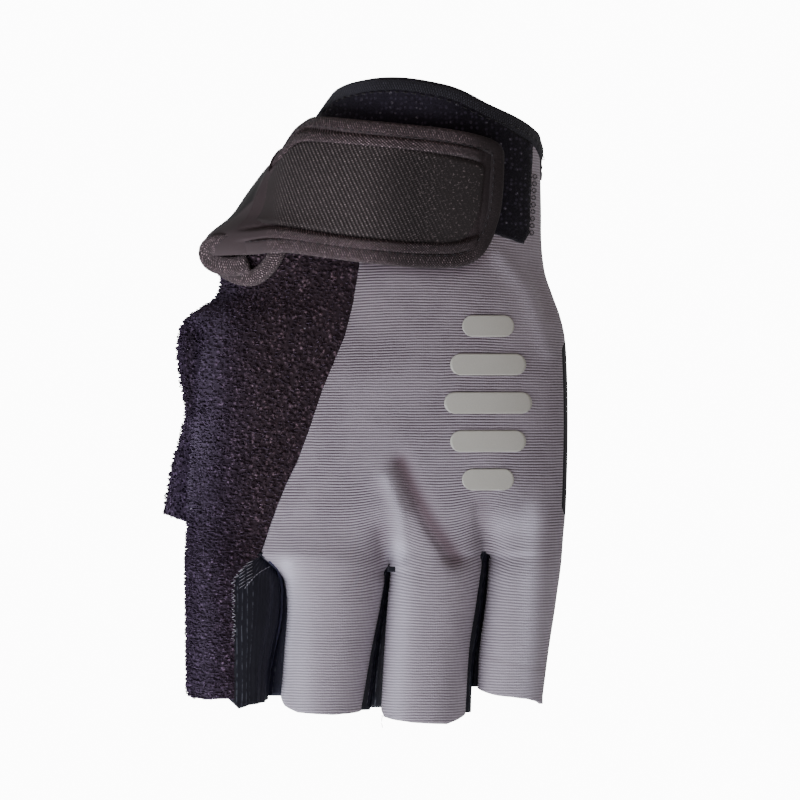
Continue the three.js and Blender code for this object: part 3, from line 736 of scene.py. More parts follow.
class Shade:
    """Short way to add and link the nodes of one material"""

    def __init__(self, tree):
        self.tree = tree

    def node(self, kind, inputs=None, **settings):
        """New node with its settings and with a value or a link at each input"""
        node = self.tree.nodes.new(kind)
        for key, value in settings.items():
            setattr(node, key, value)
        for key, value in (inputs or {}).items():
            if isinstance(value, bpy.types.NodeSocket):
                self.tree.links.new(value, node.inputs[key])
            else:
                node.inputs[key].default_value = value
        return node

    def math(self, operation, a, b=0.0, c=0.0, clamp=False):
        """Result of a sum on up to three values"""
        node = self.node("ShaderNodeMath", {0: a, 1: b, 2: c}, operation=operation, use_clamp=clamp)
        return node.outputs[0]

    def times(self, a, b, clamp=False):
        """One value times another"""
        return self.math("MULTIPLY", a, b, clamp=clamp)

    def scaled(self, value, factor, plus, clamp=False):
        """A value times a factor, with another value added"""
        return self.math("MULTIPLY_ADD", value, factor, plus, clamp)

    def split(self, vector):
        """The three parts of a vector"""
        return self.node("ShaderNodeSeparateXYZ", {0: vector}).outputs

    def blend(self, factor, a, b):
        """Colour a where the factor is 0 and colour b where it is 1"""
        node = self.node("ShaderNodeMix", {0: factor, 6: a, 7: b}, data_type="RGBA")
        return node.outputs[2]

    def noise(self, vector, scale, detail=2.0, roughness=0.5):
        """Cloudy value between 0 and 1"""
        node = self.node("ShaderNodeTexNoise", {"Vector": vector, "Scale": scale, "Detail": detail,
                                               "Roughness": roughness})
        return node.outputs["Fac"]

    def attribute(self, name):
        """Value that mark wrote on the piece"""
        return self.node("ShaderNodeAttribute", attribute_name=name).outputs["Fac"]

    def wave(self, place, pitch):
        """Sine between 0 and 1 that repeats at a pitch"""
        turn = self.times(self.math("DIVIDE", place, pitch), 2 * math.pi)
        return self.scaled(self.math("SINE", turn), 0.5, 0.5)

    def ramp(self, value, low, high):
        """Smooth step from 0 at low to 1 at high"""
        node = self.node("ShaderNodeMapRange", {"Value": value, "From Min": low, "From Max": high},
                         interpolation_type="SMOOTHSTEP")
        return node.outputs[0]


def new_group(name, inputs, outputs):
    """Empty shader node group with named sockets"""
    tree = bpy.data.node_groups.new(name, "ShaderNodeTree")
    for socket, kind, default in inputs:
        made = tree.interface.new_socket(socket, in_out="INPUT", socket_type=kind)
        if default is not None:
            made.default_value = default
    for socket, kind in outputs:
        tree.interface.new_socket(socket, in_out="OUTPUT", socket_type=kind)
    shade = Shade(tree)
    return tree, shade, shade.node("NodeGroupInput").outputs, shade.node("NodeGroupOutput").inputs


def make_weave_group():
    """Slanted rows of yarn with dots where a yarn passes over, and light flecks on some of them"""
    tree, shade, given, result = new_group(
        "woven_yarns",
        [("Pattern", "NodeSocketVector", None), ("Row pitch", "NodeSocketFloat", 0.65),
         ("Dot pitch", "NodeSocketFloat", 0.65), ("Slant", "NodeSocketFloat", 1.0)],
        [("Height", "NodeSocketFloat"), ("Fleck", "NodeSocketFloat")])
    split = shade.split(given["Pattern"])
    slanted = shade.scaled(split[1], given["Slant"], split[0])
    crossed = shade.math("SUBTRACT", split[1], shade.times(split[0], given["Slant"]))
    row = shade.wave(slanted, given["Row pitch"])
    dot = shade.wave(crossed, given["Dot pitch"])
    height = shade.times(row, shade.scaled(dot, 0.75, 0.25))
    grain = shade.noise(given["Pattern"], 1.7, 3.0, 0.7)
    fleck = shade.times(shade.ramp(height, 0.35, 0.9), shade.ramp(grain, 0.44, 0.64))
    shade.tree.links.new(height, result["Height"])
    shade.tree.links.new(fleck, result["Fleck"])
    return tree


def make_wear_group():
    """Slow unevenness of tone over a cloth, from handling and light fading"""
    tree, shade, given, result = new_group(
        "cloth_unevenness",
        [("Place", "NodeSocketVector", None), ("Size", "NodeSocketFloat", 60.0)],
        [("Tone", "NodeSocketFloat"), ("Lint", "NodeSocketFloat")])
    tone = shade.noise(given["Place"], given["Size"], 4.0, 0.55)
    lint = shade.noise(given["Place"], shade.times(given["Size"], 26.0), 1.0, 0.5)
    shade.tree.links.new(tone, result["Tone"])
    shade.tree.links.new(shade.ramp(lint, 0.74, 0.80), result["Lint"])
    return tree


def start_material(name, roughness, sheen=0.0, shine=0.3, sheen_tint=(1, 1, 1)):
    """New cloth material with its shader and the coordinates that its pattern uses"""
    material = bpy.data.materials.new("cloth_" + name)
    material.use_nodes = True
    shade = Shade(material.node_tree)
    surface = material.node_tree.nodes["Principled BSDF"]
    surface.inputs["Roughness"].default_value = roughness
    surface.inputs["Sheen Weight"].default_value = sheen
    surface.inputs["Sheen Roughness"].default_value = 0.5
    surface.inputs["Sheen Tint"].default_value = rgba(sheen_tint)
    surface.inputs["Specular IOR Level"].default_value = shine
    pattern = shade.node("ShaderNodeUVMap", uv_map="cloth").outputs[0]
    place = shade.node("ShaderNodeTexCoord").outputs["Object"]
    return material, shade, surface, pattern, place


def dress(shade, surface, colour, height, strength, distance):
    """Link a cloth's colour and the relief of its surface"""
    bump = shade.node("ShaderNodeBump", {"Height": height, "Strength": strength, "Distance": distance * MM})
    shade.tree.links.new(colour, surface.inputs["Base Color"])
    shade.tree.links.new(bump.outputs[0], surface.inputs["Normal"])


def wear(shade, place, size):
    """Slow unevenness of tone, and sparse lint"""
    node = shade.node("ShaderNodeGroup", node_tree=bpy.data.node_groups["cloth_unevenness"])
    shade.tree.links.new(place, node.inputs["Place"])
    node.inputs["Size"].default_value = size
    return node.outputs


def rgba(colour, gain=1.0):
    """Colour made lighter or darker by a gain, with full alpha"""
    return tuple(min(1.0, channel * gain) for channel in colour) + (1.0,)


def make_knit(colours, sizes):
    """Grey knit: light ribs with sunk darker lines, each rib made of small upright stitches, with painted
    light on its lit folds and painted shade towards the wrist and in its creases
    """
    material, shade, surface, pattern, place = start_material("grey_knit", 0.7, 0.12, 0.2)
    split = shade.split(pattern)
    across, _, height = shade.split(place)
    sway = shade.noise(place, 120.0, 2.0, 0.5)
    row = shade.scaled(sway, 0.5, split[1])
    wave = shade.wave(row, sizes.rib_pitch)
    stitch = shade.wave(split[0], 0.55)
    grain = shade.noise(pattern, 2.4, 3.0, 0.7)
    patch = shade.noise(place, 55.0, 3.0, 0.6)
    # Painted light from the piece's light attribute: it lightens the knit and fades its rib lines on lit
    # folds and finger sides
    smooth = shade.attribute("light")
    fade = shade.scaled(shade.ramp(height, -0.095, -0.125), -0.35, 1.0)
    fade = shade.times(fade, shade.scaled(smooth, -0.85, 1.0, clamp=True))
    corner = shade.times(shade.ramp(across, 0.012, 0.024), shade.ramp(height, -0.066, -0.048))
    fade = shade.times(fade, shade.scaled(corner, -0.6, 1.0))
    depth = shade.times(fade, shade.scaled(shade.ramp(patch, 0.35, 0.65), 0.4, 0.7))
    line = shade.ramp(wave, 0.66, 0.12)
    line = shade.times(line, shade.scaled(grain, 1.0, 0.45), clamp=True)
    line = shade.times(line, depth, clamp=True)
    tone = wear(shade, place, 45.0)
    light = shade.blend(tone["Tone"], rgba(colours.knit, 0.88), rgba(colours.knit, 1.2))
    light = shade.blend(shade.times(stitch, 0.14), light, rgba(colours.knit, 0.6))
    # Painted shade: the knit darker and warmer towards the wrist, away from the low lamp
    upper = shade.ramp(height, -0.095, -0.045)
    light = shade.blend(shade.times(upper, 0.24), light, rgba(TINTS["knit_painted_top_shade"]))
    light = shade.blend(shade.times(smooth, 0.46), light, rgba(TINTS["lit_knit"]))
    # Painted shade in the creases, dents and under the strap, from the piece's dark attribute
    light = shade.blend(shade.attribute("dark"), light, rgba(colours.knit_crease_painted_shade))
    colour = shade.blend(line, light, rgba(colours.knit_line))
    relief = shade.scaled(stitch, 0.12, shade.scaled(grain, 0.25, wave))
    dress(shade, surface, colour, relief, 0.7, 0.2)
    return material


def make_terry(colours, sizes):
    """Terry: crowded yarn loops, dark between and paler on their tips, with loose light lint, painted shade
    in its dents and painted light on its lit folds
    """
    material, shade, surface, _, place = start_material("terry", 1.0, 0.16, 0.08, (0.75, 0.55, 0.9))
    cells = shade.node("ShaderNodeTexVoronoi", {"Vector": place, "Scale": 1000 / sizes.loop_size,
                                               "Randomness": 1.0})
    tip = shade.ramp(cells.outputs["Distance"], 0.62, 0.1)
    grain = shade.noise(place, 1300.0, 3.0, 0.7)
    patch = shade.noise(place, 320.0, 3.0, 0.6)
    uneven = shade.times(shade.ramp(grain, 0.35, 0.7), shade.ramp(patch, 0.3, 0.7))
    lit = shade.times(tip, uneven, clamp=True)
    across = shade.split(place)[0]
    # The terry turns bluer towards the thumb, and a little lighter there as painted light from the lamp on
    # the left
    side = shade.ramp(across, -0.040, -0.062)
    dark = shade.blend(side, rgba(colours.terry, 0.4), rgba(colours.terry_side, 0.45))
    bright = shade.blend(side, rgba(colours.terry, 4.8), rgba(colours.terry_side, 5.2))
    # Painted shade in the terry's dents from the dark attribute, and painted light on its lit folds from the
    # light attribute
    dark = shade.blend(shade.attribute("dark"), dark, rgba(colours.terry, 0.2))
    bright = shade.blend(shade.attribute("dark"), bright, rgba(colours.terry, 1.6))
    base = shade.blend(lit, dark, bright)
    on_fold = shade.times(shade.attribute("light"), 0.45, clamp=True)
    base = shade.blend(on_fold, base, rgba(TINTS["lit_terry"]))
    tone = wear(shade, place, 40.0)
    spark = shade.times(tone["Lint"], shade.ramp(patch, 0.5, 0.62))
    colour = shade.blend(shade.times(spark, 0.6), base, rgba(TINTS["lint"]))
    dress(shade, surface, colour, shade.scaled(grain, 0.5, tip), 1.0, 0.45)
    return material


def make_lycra(name, colours, gain):
    """Lycra: fine lengthwise wrinkle lines near its front edge, paler on the strip's second half in the first
    slot as painted light
    """
    material, shade, surface, pattern, place = start_material(name, 0.5, 0.06, 0.22, (0.6, 0.65, 1.0))
    split = shade.split(pattern)
    sway = shade.noise(place, 110.0, 2.0, 0.5)
    line = shade.wave(shade.scaled(sway, 0.5, split[0]), 0.75)
    grain = shade.noise(place, 700.0, 2.0, 0.6)
    mask = shade.times(shade.ramp(line, 0.84, 1.0), shade.ramp(grain, 0.4, 0.65))
    mask = shade.times(mask, shade.ramp(split[0], 4.6, 3.4))
    across = shade.split(place)[0]
    # Painted light on the leg of the first slot's strip that faces the lamp
    painted_lit_leg = shade.times(shade.ramp(split[1], 41.0, 43.0), shade.ramp(across, -0.026, -0.031))
    base = shade.blend(painted_lit_leg, rgba(colours.lycra, 0.6 * gain), rgba(colours.lycra, 1.9 * gain))
    colour = shade.blend(mask, base, rgba(TINTS["wrinkle"]))
    dress(shade, surface, colour, shade.scaled(grain, 0.2, line), 0.4, 0.15)
    return material


def make_palm(colours):
    """Palm: matt suede with a fine nap"""
    material, shade, surface, _, place = start_material("palm_leather", 0.9, 0.1, 0.15)
    nap = shade.noise(place, 1500.0, 4.0, 0.7)
    tone = wear(shade, place, 50.0)
    brushed = shade.times(tone["Tone"], nap)
    colour = shade.blend(brushed, rgba(colours.palm, 0.8), rgba(colours.palm, 2.6))
    dress(shade, surface, colour, nap, 0.5, 0.15)
    return material


def make_woven(name, colour_value, row_pitch, dot_pitch, slant, gain, top=2.4):
    """Woven tape or webbing: crossing yarns with paler flecks, plain and dark where the piece says so (the
    dark partly painted shade), with painted light where the piece says so
    """
    material, shade, surface, pattern, place = start_material(name, 0.8, 0.08, 0.2)
    yarns = shade.node("ShaderNodeGroup", node_tree=bpy.data.node_groups["woven_yarns"])
    shade.tree.links.new(pattern, yarns.inputs["Pattern"])
    yarns.inputs["Row pitch"].default_value = row_pitch
    yarns.inputs["Dot pitch"].default_value = dot_pitch
    yarns.inputs["Slant"].default_value = slant
    plain = shade.attribute("plain")
    dim = shade.attribute("dim")
    shown = shade.math("SUBTRACT", 1.0, plain)
    tone = wear(shade, place, 70.0)
    base = shade.blend(yarns.outputs["Height"], rgba(colour_value, 0.4), rgba(colour_value, top))
    keep = shade.scaled(tone["Tone"], 0.5, plain, clamp=True)
    base = shade.blend(keep, base, rgba(colour_value, 1.3))
    fleck = shade.times(yarns.outputs["Fleck"], shown)
    colour = shade.blend(shade.times(fleck, 0.9, clamp=True), base, rgba(colour_value, gain))
    # Darker where the piece's dim attribute says: partly the strap's own colour, partly painted shade and
    # shadow
    colour = shade.blend(dim, colour, rgba(colour_value, 0.12))
    speck = shade.ramp(shade.noise(pattern, 1.5, 2.0, 0.6), 0.6, 0.68)
    speck = shade.times(speck, shade.attribute("speck"))
    colour = shade.blend(speck, colour, rgba(colour_value, gain * 0.6))
    # Painted light where the piece's light attribute says, as on the cuff's thumb side
    colour = shade.blend(shade.attribute("light"), colour, rgba(colour_value, 3.2))
    dress(shade, surface, colour, shade.times(yarns.outputs["Height"], shown), 0.8, 0.2)
    return material


def make_loop(colours):
    """Loop pile: very dark tangled nylon with rows of bright fibres, and painted light where the piece says
    so
    """
    material, shade, surface, pattern, place = start_material("hook_and_loop", 0.95, 0.05, 0.12)
    pile = shade.noise(place, 1300.0, 5.0, 0.8)
    fibre = shade.noise(place, 800.0, 3.0, 0.8)
    cells = shade.node("ShaderNodeTexVoronoi", {"Vector": pattern, "Scale": 0.8, "Randomness": 0.45})
    knot = shade.ramp(cells.outputs["Distance"], 0.42, 0.15)
    knot = shade.times(knot, shade.math("SUBTRACT", 1.0, shade.attribute("plain")), clamp=True)
    spark = shade.times(knot, shade.ramp(fibre, 0.56, 0.66))
    base = shade.blend(pile, rgba(colours.loop, 0.4), rgba(colours.loop, 3.0))
    # Painted light where the piece's light attribute says
    base = shade.blend(shade.attribute("light"), base, rgba(colours.loop, 6.0))
    base = shade.blend(shade.times(knot, 0.7), base, rgba(colours.loop, 8.5))
    colour = shade.blend(shade.times(spark, 0.75), base, rgba(TINTS["fibre"]))
    dress(shade, surface, colour, pile, 1.0, 0.5)
    return material


def make_film(colours):
    """Reflective film: pale, faintly grained, with a satin face"""
    material, shade, surface, _, place = start_material("reflective", 0.45)
    grain = shade.noise(place, 2600.0, 2.0, 0.6)
    tone = wear(shade, place, 55.0)
    colour = shade.blend(shade.scaled(grain, 0.5, shade.times(tone["Tone"], 0.5)),
                         rgba(colours.film, 0.86), rgba(colours.film, 1.12))
    dress(shade, surface, colour, grain, 0.25, 0.05)
    return material


def make_thread(name, colour_value):
    """Twisted sewing thread"""
    material, shade, surface, _, place = start_material(name, 0.6, 0.2)
    twist = shade.noise(place, 3000.0, 1.0, 0.5)
    colour = shade.blend(twist, rgba(colour_value, 0.7), rgba(colour_value, 1.3))
    dress(shade, surface, colour, twist, 0.4, 0.05)
    return material


def material(name):
    """Material of one finish, made on first use"""
    if "cloth_" + name in bpy.data.materials:
        return bpy.data.materials["cloth_" + name]
    scene = bpy.context.scene
    colours = scene.glove_colours
    sizes = scene.glove_sizes
    if "woven_yarns" not in bpy.data.node_groups:
        make_weave_group()
        make_wear_group()
    yarn = sizes.weave_pitch
    twill = sizes.twill_pitch
    makers = {
        "grey_knit": lambda: make_knit(colours, sizes),
        "terry": lambda: make_terry(colours, sizes),
        "lycra": lambda: make_lycra("lycra", colours, 1.0),
        # Lycra made eight times lighter as the painted highlight on the first slot's fold
        "painted_highlight_lycra": lambda: make_lycra("painted_highlight_lycra", colours, 8.0),
        "palm_leather": lambda: make_palm(colours),
        "tape": lambda: make_woven("tape", colours.tape, yarn, yarn, 1.0, 16.0),
        "cuff_tape": lambda: make_woven("cuff_tape", colours.cuff, yarn, yarn, 1.0, 5.0),
        "webbing": lambda: make_woven("webbing", colours.face, twill, twill * 0.6, 0.47, 11.0, 3.2),
        "hook_and_loop": lambda: make_loop(colours),
        "reflective": lambda: make_film(colours),
        "dark_thread": lambda: make_thread("dark_thread", TINTS["dark_thread"]),
        "grey_thread": lambda: make_thread("grey_thread", TINTS["grey_thread"]),
    }
    return makers[name]()


# Pieces

def edge_fit(base, u, left, right):
    """Shift a strip of points so that its sides lie on two given lines"""
    start = base(np.zeros_like(u))
    end = base(np.ones_like(u))
    return base(u) + (left - start) * ((1 - u) ** 3)[:, None] + (right - end) * (u ** 3)[:, None]


def finger_panel(name, u, z, left_edge, right_edge, first_angle, last_angle, rear=False, hand_end=None):
    """Part of a panel that runs from the hand into one finger"""
    start = angle_at_x(HAND, z, left_edge[:, 0], HAND_ROUNDNESS, rear)
    end = angle_at_x(HAND, z, right_edge[:, 0], HAND_ROUNDNESS, rear)
    if hand_end is not None:
        end = hand_end

    def base(share):
        hand = limb_point(HAND, z, start + (end - start) * share, HAND_ROUNDNESS)
        angle = first_angle + (last_angle - first_angle) * share
        finger = limb_point(FINGERS[name], z, angle, FINGER_ROUNDNESS)
        return mix(hand, finger, hand_weight(z))

    return edge_fit(base, u, left_edge, right_edge)


def slot_line_x(slot, z):
    """Line that runs up the hand from a slot and parts the panel between two fingers"""
    foot = (table_at(FINGERS[slot["before"]], -110.0)["right"]
            + table_at(FINGERS[slot["after"]], -110.0)["left"]) / 2
    row = table_at(HAND, np.clip(z, *HAND_REACH))
    share = {"index_middle": 0.30, "middle_ring": 0.53, "ring_little": 0.76}[slot["name"]]
    head = row["left"] + (row["right"] - row["left"]) * share
    fade = smoothstep((z + 104) / 70)
    return foot * (1 - fade) + head * fade


def little_side_angle(z):
    """Turn of the little finger side's seam past the widest place: towards the back over the palm's edge"""
    shown = smoothstep((-55 - z) / 5) * smoothstep((z + 105) / 6)
    return np.radians(-4 + 18 * shown)


def little_side_seam(z):
    """Line in which the grey back and the palm meet on the little finger side"""
    hand = limb_point(HAND, z, 2 * np.pi - little_side_angle(z), HAND_ROUNDNESS)
    finger = limb_point(LITTLE, z, 2 * np.pi + LITTLE_SIDE, FINGER_ROUNDNESS)
    return mix(hand, finger, hand_weight(z))


def thumb_side_seam(z):
    """Line in which the terry and the palm meet on the thumb side"""
    hand = limb_point(HAND, z, HAND_SIDE, HAND_ROUNDNESS)
    finger = limb_point(INDEX, z, INDEX_SIDE, FINGER_ROUNDNESS)
    return mix(hand, finger, hand_weight(z))


def wrist_height(x):
    """Height of the wrist's edge at x"""
    return np.interp(x, *zip(*WRIST_EDGE))


def rough_hem(x, z_hem, amount, seed):
    """Height of a hem made slightly uneven"""
    return z_hem + amount * soft_noise(x, z_hem, 2.4, seed)


def outward_from(points, axis):
    """Outward directions at points of a tube, nearly level"""
    out = points - np.array([axis(point) for point in points])
    out[:, 2] *= 0.2
    return unit(out)


def raise_folds(points, normals_from):
    """Push points on the back of the glove out or in by its folds"""
    out = outward_from(points, normals_from)
    front = smoothstep((-points[:, 1] - 2) / 6)
    return points + out * (fold_sum(points[:, 0], points[:, 2], FOLD_RISE) * front)[:, None]


def split_rows(head, levels, foot, v):
    """Heights of a panel's rows: from its head through levels that all fingers share, then to its hem"""
    shares = [0.0] + [share for share, _ in levels] + [1.0]
    heights = [head] + [level for _, level in levels] + [foot]
    z = head + 0 * v
    for number in range(len(shares) - 1):
        part = (v - shares[number]) / (shares[number + 1] - shares[number])
        z = np.where(part >= -1e-9, heights[number] + (heights[number + 1] - heights[number]) * part, z)
    return z


def back_group(finger):
    """Placing function for the grey back's part over one finger"""
    number = ("middle", "ring", "little").index(finger)
    before_slot = SLOTS[number]
    after_slot = SLOTS[number + 1] if number < 2 else None
    left_top = -29.4 if finger == "middle" else slot_line_x(before_slot, 0.0)
    right_top = slot_line_x(after_slot, 0.0) if after_slot else 27.3

    def sheet(u, z):
        left_edge = slot_edge(before_slot, "after", z, False)
        right_edge = slot_edge(after_slot, "before", z, False) if after_slot else little_side_seam(z)
        last = 2 * np.pi - FRONT_SEAM if after_slot else 2 * np.pi + LITTLE_SIDE
        hand_end = None if after_slot else 2 * np.pi - little_side_angle(z)
        return finger_panel(finger, u, z, left_edge, right_edge, np.pi + FRONT_SEAM, last, hand_end=hand_end)

    def place(u, v):
        head = wrist_height(left_top + (right_top - left_top) * u)
        head = wrist_height(sheet(u, head)[:, 0])
        foot = rough_hem(u * 20 + number * 31, hem_height(finger, u), 0.16, number + 2)
        return sheet(u, split_rows(head, BACK_LEVELS, foot, v))

    return place


def rib_pattern(points):
    """Ribs run level and dip a little where the cloth is pulled into the slots"""
    x = points[:, 0]
    z = points[:, 2]
    pull = 0.0
    for top in (-9.8, 14.2):
        pull = pull + 2.6 * np.exp(-((x - top) / 6.0) ** 2) * np.exp(-((z + 108) / 13.0) ** 2)
    sway = 0.035 * (x + 5) * smoothstep((z + 60) / 30) + 0.0016 * (x - 2) ** 2 * smoothstep((z + 80) / 40)
    return np.stack([x - 0.35 * points[:, 1], z - pull + sway], axis=-1)


def make_back_panel():
    """Grey ribbed back, from the wrist edge to the hems of three fingers"""
    pieces = []
    for finger in ("middle", "ring", "little"):
        group = back_group(finger)

        def place(u, v, group=group):
            return raise_folds(group(u, v), hand_axis)

        def pattern(u, v, place=place):
            return rib_pattern(place(u, v))

        pieces.append(mapped_grid("part", 40, 200, place, outward=hand_axis, uv=pattern))
    piece = join_pieces("back_panel_cloth", pieces, CLOTH["knit"])
    mark(piece, "dark", painted_fold_shade)
    mark(piece, "light", painted_fold_light)
    settle(piece, "grey_knit", ["back_panel"])


def terry_top(x):
    """Height of the terry's upper edge at x"""
    return np.interp(x, *zip(*TERRY_TOP))


def place_terry(u, v):
    """Points of the terry panel's face"""
    top_x = np.interp(u, (0, 1), (-54.5, -18.2))
    head = terry_top(top_x)
    foot = rough_hem(u * 20, hem_height("index", u * 0.55), 0.35, 9)
    z = split_rows(head, BACK_LEVELS, foot, v)
    left_edge = thumb_side_seam(z)
    right_edge = slot_edge(SLOTS[0], "before", z, False)
    points = finger_panel("index", u, z, left_edge, right_edge, INDEX_SIDE, index_front_seam(z))
    return raise_folds(points, hand_axis)


def rough_up(points, outward, size, amount, seed):
    """Nubby unevenness of a looped cloth"""
    generator = np.random.default_rng(seed)
    out = outward_from(points, outward)
    wave = soft_noise(points[:, 0], points[:, 2], size, seed)
    grain = generator.random(len(points)) - 0.5
    return points + out * (amount * (0.6 * wave + 0.9 * grain))[:, None]


def make_terry_panel():
    """Terry over the thumb side of the hand and the back of the index finger"""
    def place(u, v):
        return rough_up(place_terry(u, v), hand_axis, 1.5, 0.25, 4)

    piece = mapped_grid("terry_panel_cloth", 96, 210, place, CLOTH["terry"], outward=hand_axis)
    settle_terry(piece, ["terry_panel"])
    for name, start, end, seed in (("upper", 0.0, 0.5, 11), ("lower", 0.5, 1.0, 12)):
        loops = yarn_loops("terry_loops_" + name, place_terry, hand_axis, (0.0, 0.995), (start, end), seed)
        settle_terry(loops, [])


def settle_terry(piece, nodes):
    """Finish a terry piece with the painted light and painted shade of its folds"""
    settle(piece, "terry", nodes)
    mark(piece, "dark", painted_fold_shade)
    mark(piece, "light", painted_fold_light)


def yarn_loops(name, place, axis, u_range, v_range, seed):
    """Small yarn loops that stand all over a looped cloth"""
    generator = np.random.default_rng(seed)
    corner = place(np.array([u_range[0], u_range[1], 0.5, 0.5]), np.array([0.5, 0.5, v_range[0], v_range[1]]))
    across = np.linalg.norm(corner[1] - corner[0]) * 1.35
    down = np.linalg.norm(corner[3] - corner[2])
    columns = int(across / LOOPS["spacing"])
    rows = int(down / LOOPS["spacing"])
    count = columns * rows
    u = (np.tile(np.arange(columns), rows) + generator.random(count)) / columns
    v = (np.repeat(np.arange(rows), columns) + generator.random(count)) / rows
    u = u_range[0] + (u_range[1] - u_range[0]) * u
    v = v_range[0] + (v_range[1] - v_range[0]) * v
    points = place(u, v)
    out = outward_from(points, axis)
    side = unit(np.cross(out, generator.normal(size=(count, 3)) + np.array([0, 0, 1.5])))
    other = np.cross(out, side)
    size = LOOPS["height"] * (0.55 + 0.75 * generator.random(count))
    steps = LOOPS["steps"]
    sides = LOOPS["sides"]
    bm = bmesh.new()
    bmesh.ops.create_grid(bm, x_segments=count * (sides + 1) - 1, y_segments=steps, size=0.5)
    flat = np.array([vert.co[:2] for vert in bm.verts]) + 0.5
    column = np.rint(flat[:, 0] * (count * (sides + 1) - 1)).astype(int)
    loop = column // (sides + 1)
    turn = 2 * np.pi * (column % (sides + 1)) / sides
    bend = np.pi * (0.04 + 0.92 * flat[:, 1])
    ring = np.stack([np.cos(bend) * 0.42, np.sin(bend)], axis=-1)
    spread = side[loop] * ring[:, :1] + out[loop] * ring[:, 1:]
    thread = LOOPS["thread"]
    wrap = unit(spread) * np.cos(turn)[:, None] + other[loop] * np.sin(turn)[:, None]
    place_on = points[loop] + spread * size[loop][:, None] + wrap * thread - out[loop] * 0.15
    gone = [face for face in bm.faces if is_gap(face, column, sides)]
    for vert, co in zip(bm.verts, place_on):
        vert.co = co * MM
    bmesh.ops.delete(bm, geom=gone, context="FACES")
    bm.normal_update()
    bm.faces.ensure_lookup_table()
    first = bm.faces[0]
    centre = np.array(first.calc_center_median()) / MM
    middle = points[loop[first.verts[0].index]]
    if np.dot(np.array(first.normal), centre - middle) < 0:
        bmesh.ops.reverse_faces(bm, faces=bm.faces)
    return finish_piece(name, mesh_from(name, bm))


def is_gap(face, column, sides):
    """A cell of the starting grid that lies between two loops"""
    columns = [column[vert.index] for vert in face.verts]
    return min(columns) % (sides + 1) == sides


def strip_leg(slot, key, z, v):
    """Points across a strip on one finger's side, from the back seam to the palm seam"""
    name = slot[key]
    share = v * (1 + 2 * STRIP["tuck"]) - STRIP["tuck"]
    inner = np.clip(share, 0, 1)
    first = -FRONT_SEAM + 0 * z
    last = REAR_SEAM
    side = 0.0
    if name == "index":
        first = index_front_seam(z) - 2 * np.pi
    if key == "after":
        first = np.pi + FRONT_SEAM + 0 * z
        last = np.pi - REAR_SEAM
        side = np.pi
    own = limb_point(FINGERS[name], z, first + (last - first) * share, FINGER_ROUNDNESS,
                     -STRIP["sink"] * smoothstep(np.abs(share - inner) / STRIP["tuck"]))
    start = limb_point(FINGERS[name], z, first, FINGER_ROUNDNESS)
    end = limb_point(FINGERS[name], z, last + 0 * z, FINGER_ROUNDNESS)
    front = slot_edge(slot, key, z, False)
    rear = slot_edge(slot, key, z, True)
    leg = own + (front - start) * ((1 - inner) ** 3)[:, None] + (rear - end) * (inner ** 3)[:, None]
    meeting = np.array(slot["meeting"])
    touch = np.interp(z, meeting[::-1, 0], meeting[::-1, 1])
    widest = limb_point(FINGERS[name], z, side + 0 * z, FINGER_ROUNDNESS)[:, 0]
    crest = (side - first) / (last - first)
    swell = np.sin(np.pi * inner ** (np.log(0.5) / np.log(np.clip(crest, 0.05, 0.95)))) ** 0.8
    overlap = STRIP["overlap"] if key == "before" else -STRIP["overlap"]
    leg[:, 0] += (touch + overlap - widest) * swell
    return leg


def strip_hem(slot, key, v):
    """Lower end of a strip on one finger's side"""
    if slot[key] == "index":
        return np.interp(v, (0, 0.1, 0.2, 0.5, 0.75, 1), (-147.3, -150.0, -149.2, -148.4, -147.0, -146.6))
    return hem_height(slot[key], 1.0 if key == "before" else 0.0) + 0.3


def strip_point(slot, u, v, wrinkle):
    """Place on a slot's strip: u runs down one finger and the next, v from the back to the palm"""
    run = np.abs(u - 0.5) * 2
    inner = np.clip(v * (1 + 2 * STRIP["tuck"]) - STRIP["tuck"], 0, 1)
    top = slot["top"] + (slot["palm_top"] - slot["top"]) * inner
    legs = []
    for number, key in enumerate(("before", "after")):
        hem = rough_hem(v * 9, strip_hem(slot, key, v), 0.12, 5 + number)
        z = top + (hem - top) * run
        leg = strip_leg(slot, key, z, v)
        legs.append(leg)
    points = np.where((u < 0.5)[:, None], legs[0], legs[1])
    crown = (strip_leg(slot, "before", top, v) + strip_leg(slot, "after", top, v)) / 2
    points = mix(crown, points, smoothstep(run * 14))
    lean = wrinkle * np.sin(v * 42 + 2 * np.sin(points[:, 2] * 0.12)) * np.sin(np.pi * v)
    lean = lean * smoothstep(run * 3)
    points[:, 0] += lean * np.where(u < 0.5, 1, -1)
    return points


def make_strips():
    """Lycra strips in the three finger slots"""
    for slot in SLOTS:
        wrinkle = 0.25 if slot["name"] == "index_middle" else 0.1

        def place(u, v, slot=slot, wrinkle=wrinkle):
            return strip_point(slot, u, v, wrinkle)

        def pattern(u, v):
            return np.stack([v * 17.0, u * 80.0], axis=-1)

        piece = mapped_grid("strip_" + slot["name"] + "_cloth", 96, 60, place, CLOTH["lycra"], uv=pattern)
        turn_towards_slot(piece, slot)
        settle(piece, "lycra", ["fourchette_" + slot["name"]])


def turn_towards_slot(piece, slot):
    """Faces of a strip look into its slot"""
    middle = (table_at(FINGERS[slot["before"]], -130.0)["right"]
              + table_at(FINGERS[slot["after"]], -130.0)["left"]) / 2
    with edited(piece.data) as bm:
        bm.normal_update()
        votes = sum(face.normal.x * (middle * MM - face.calc_center_median().x) * face.calc_area()
                    for face in bm.faces)
        if votes < 0:
            bmesh.ops.reverse_faces(bm, faces=bm.faces)


def palm_head(x):
    """Height of the wrist edge on the palm side"""
    row = table_at(HAND, -10.0)
    share = np.clip((row["right"] - x) / 26.0, 0, 1)
    return PALM_EDGE_SIDE + (PALM_EDGE_MIDDLE - PALM_EDGE_SIDE) * smoothstep(share)


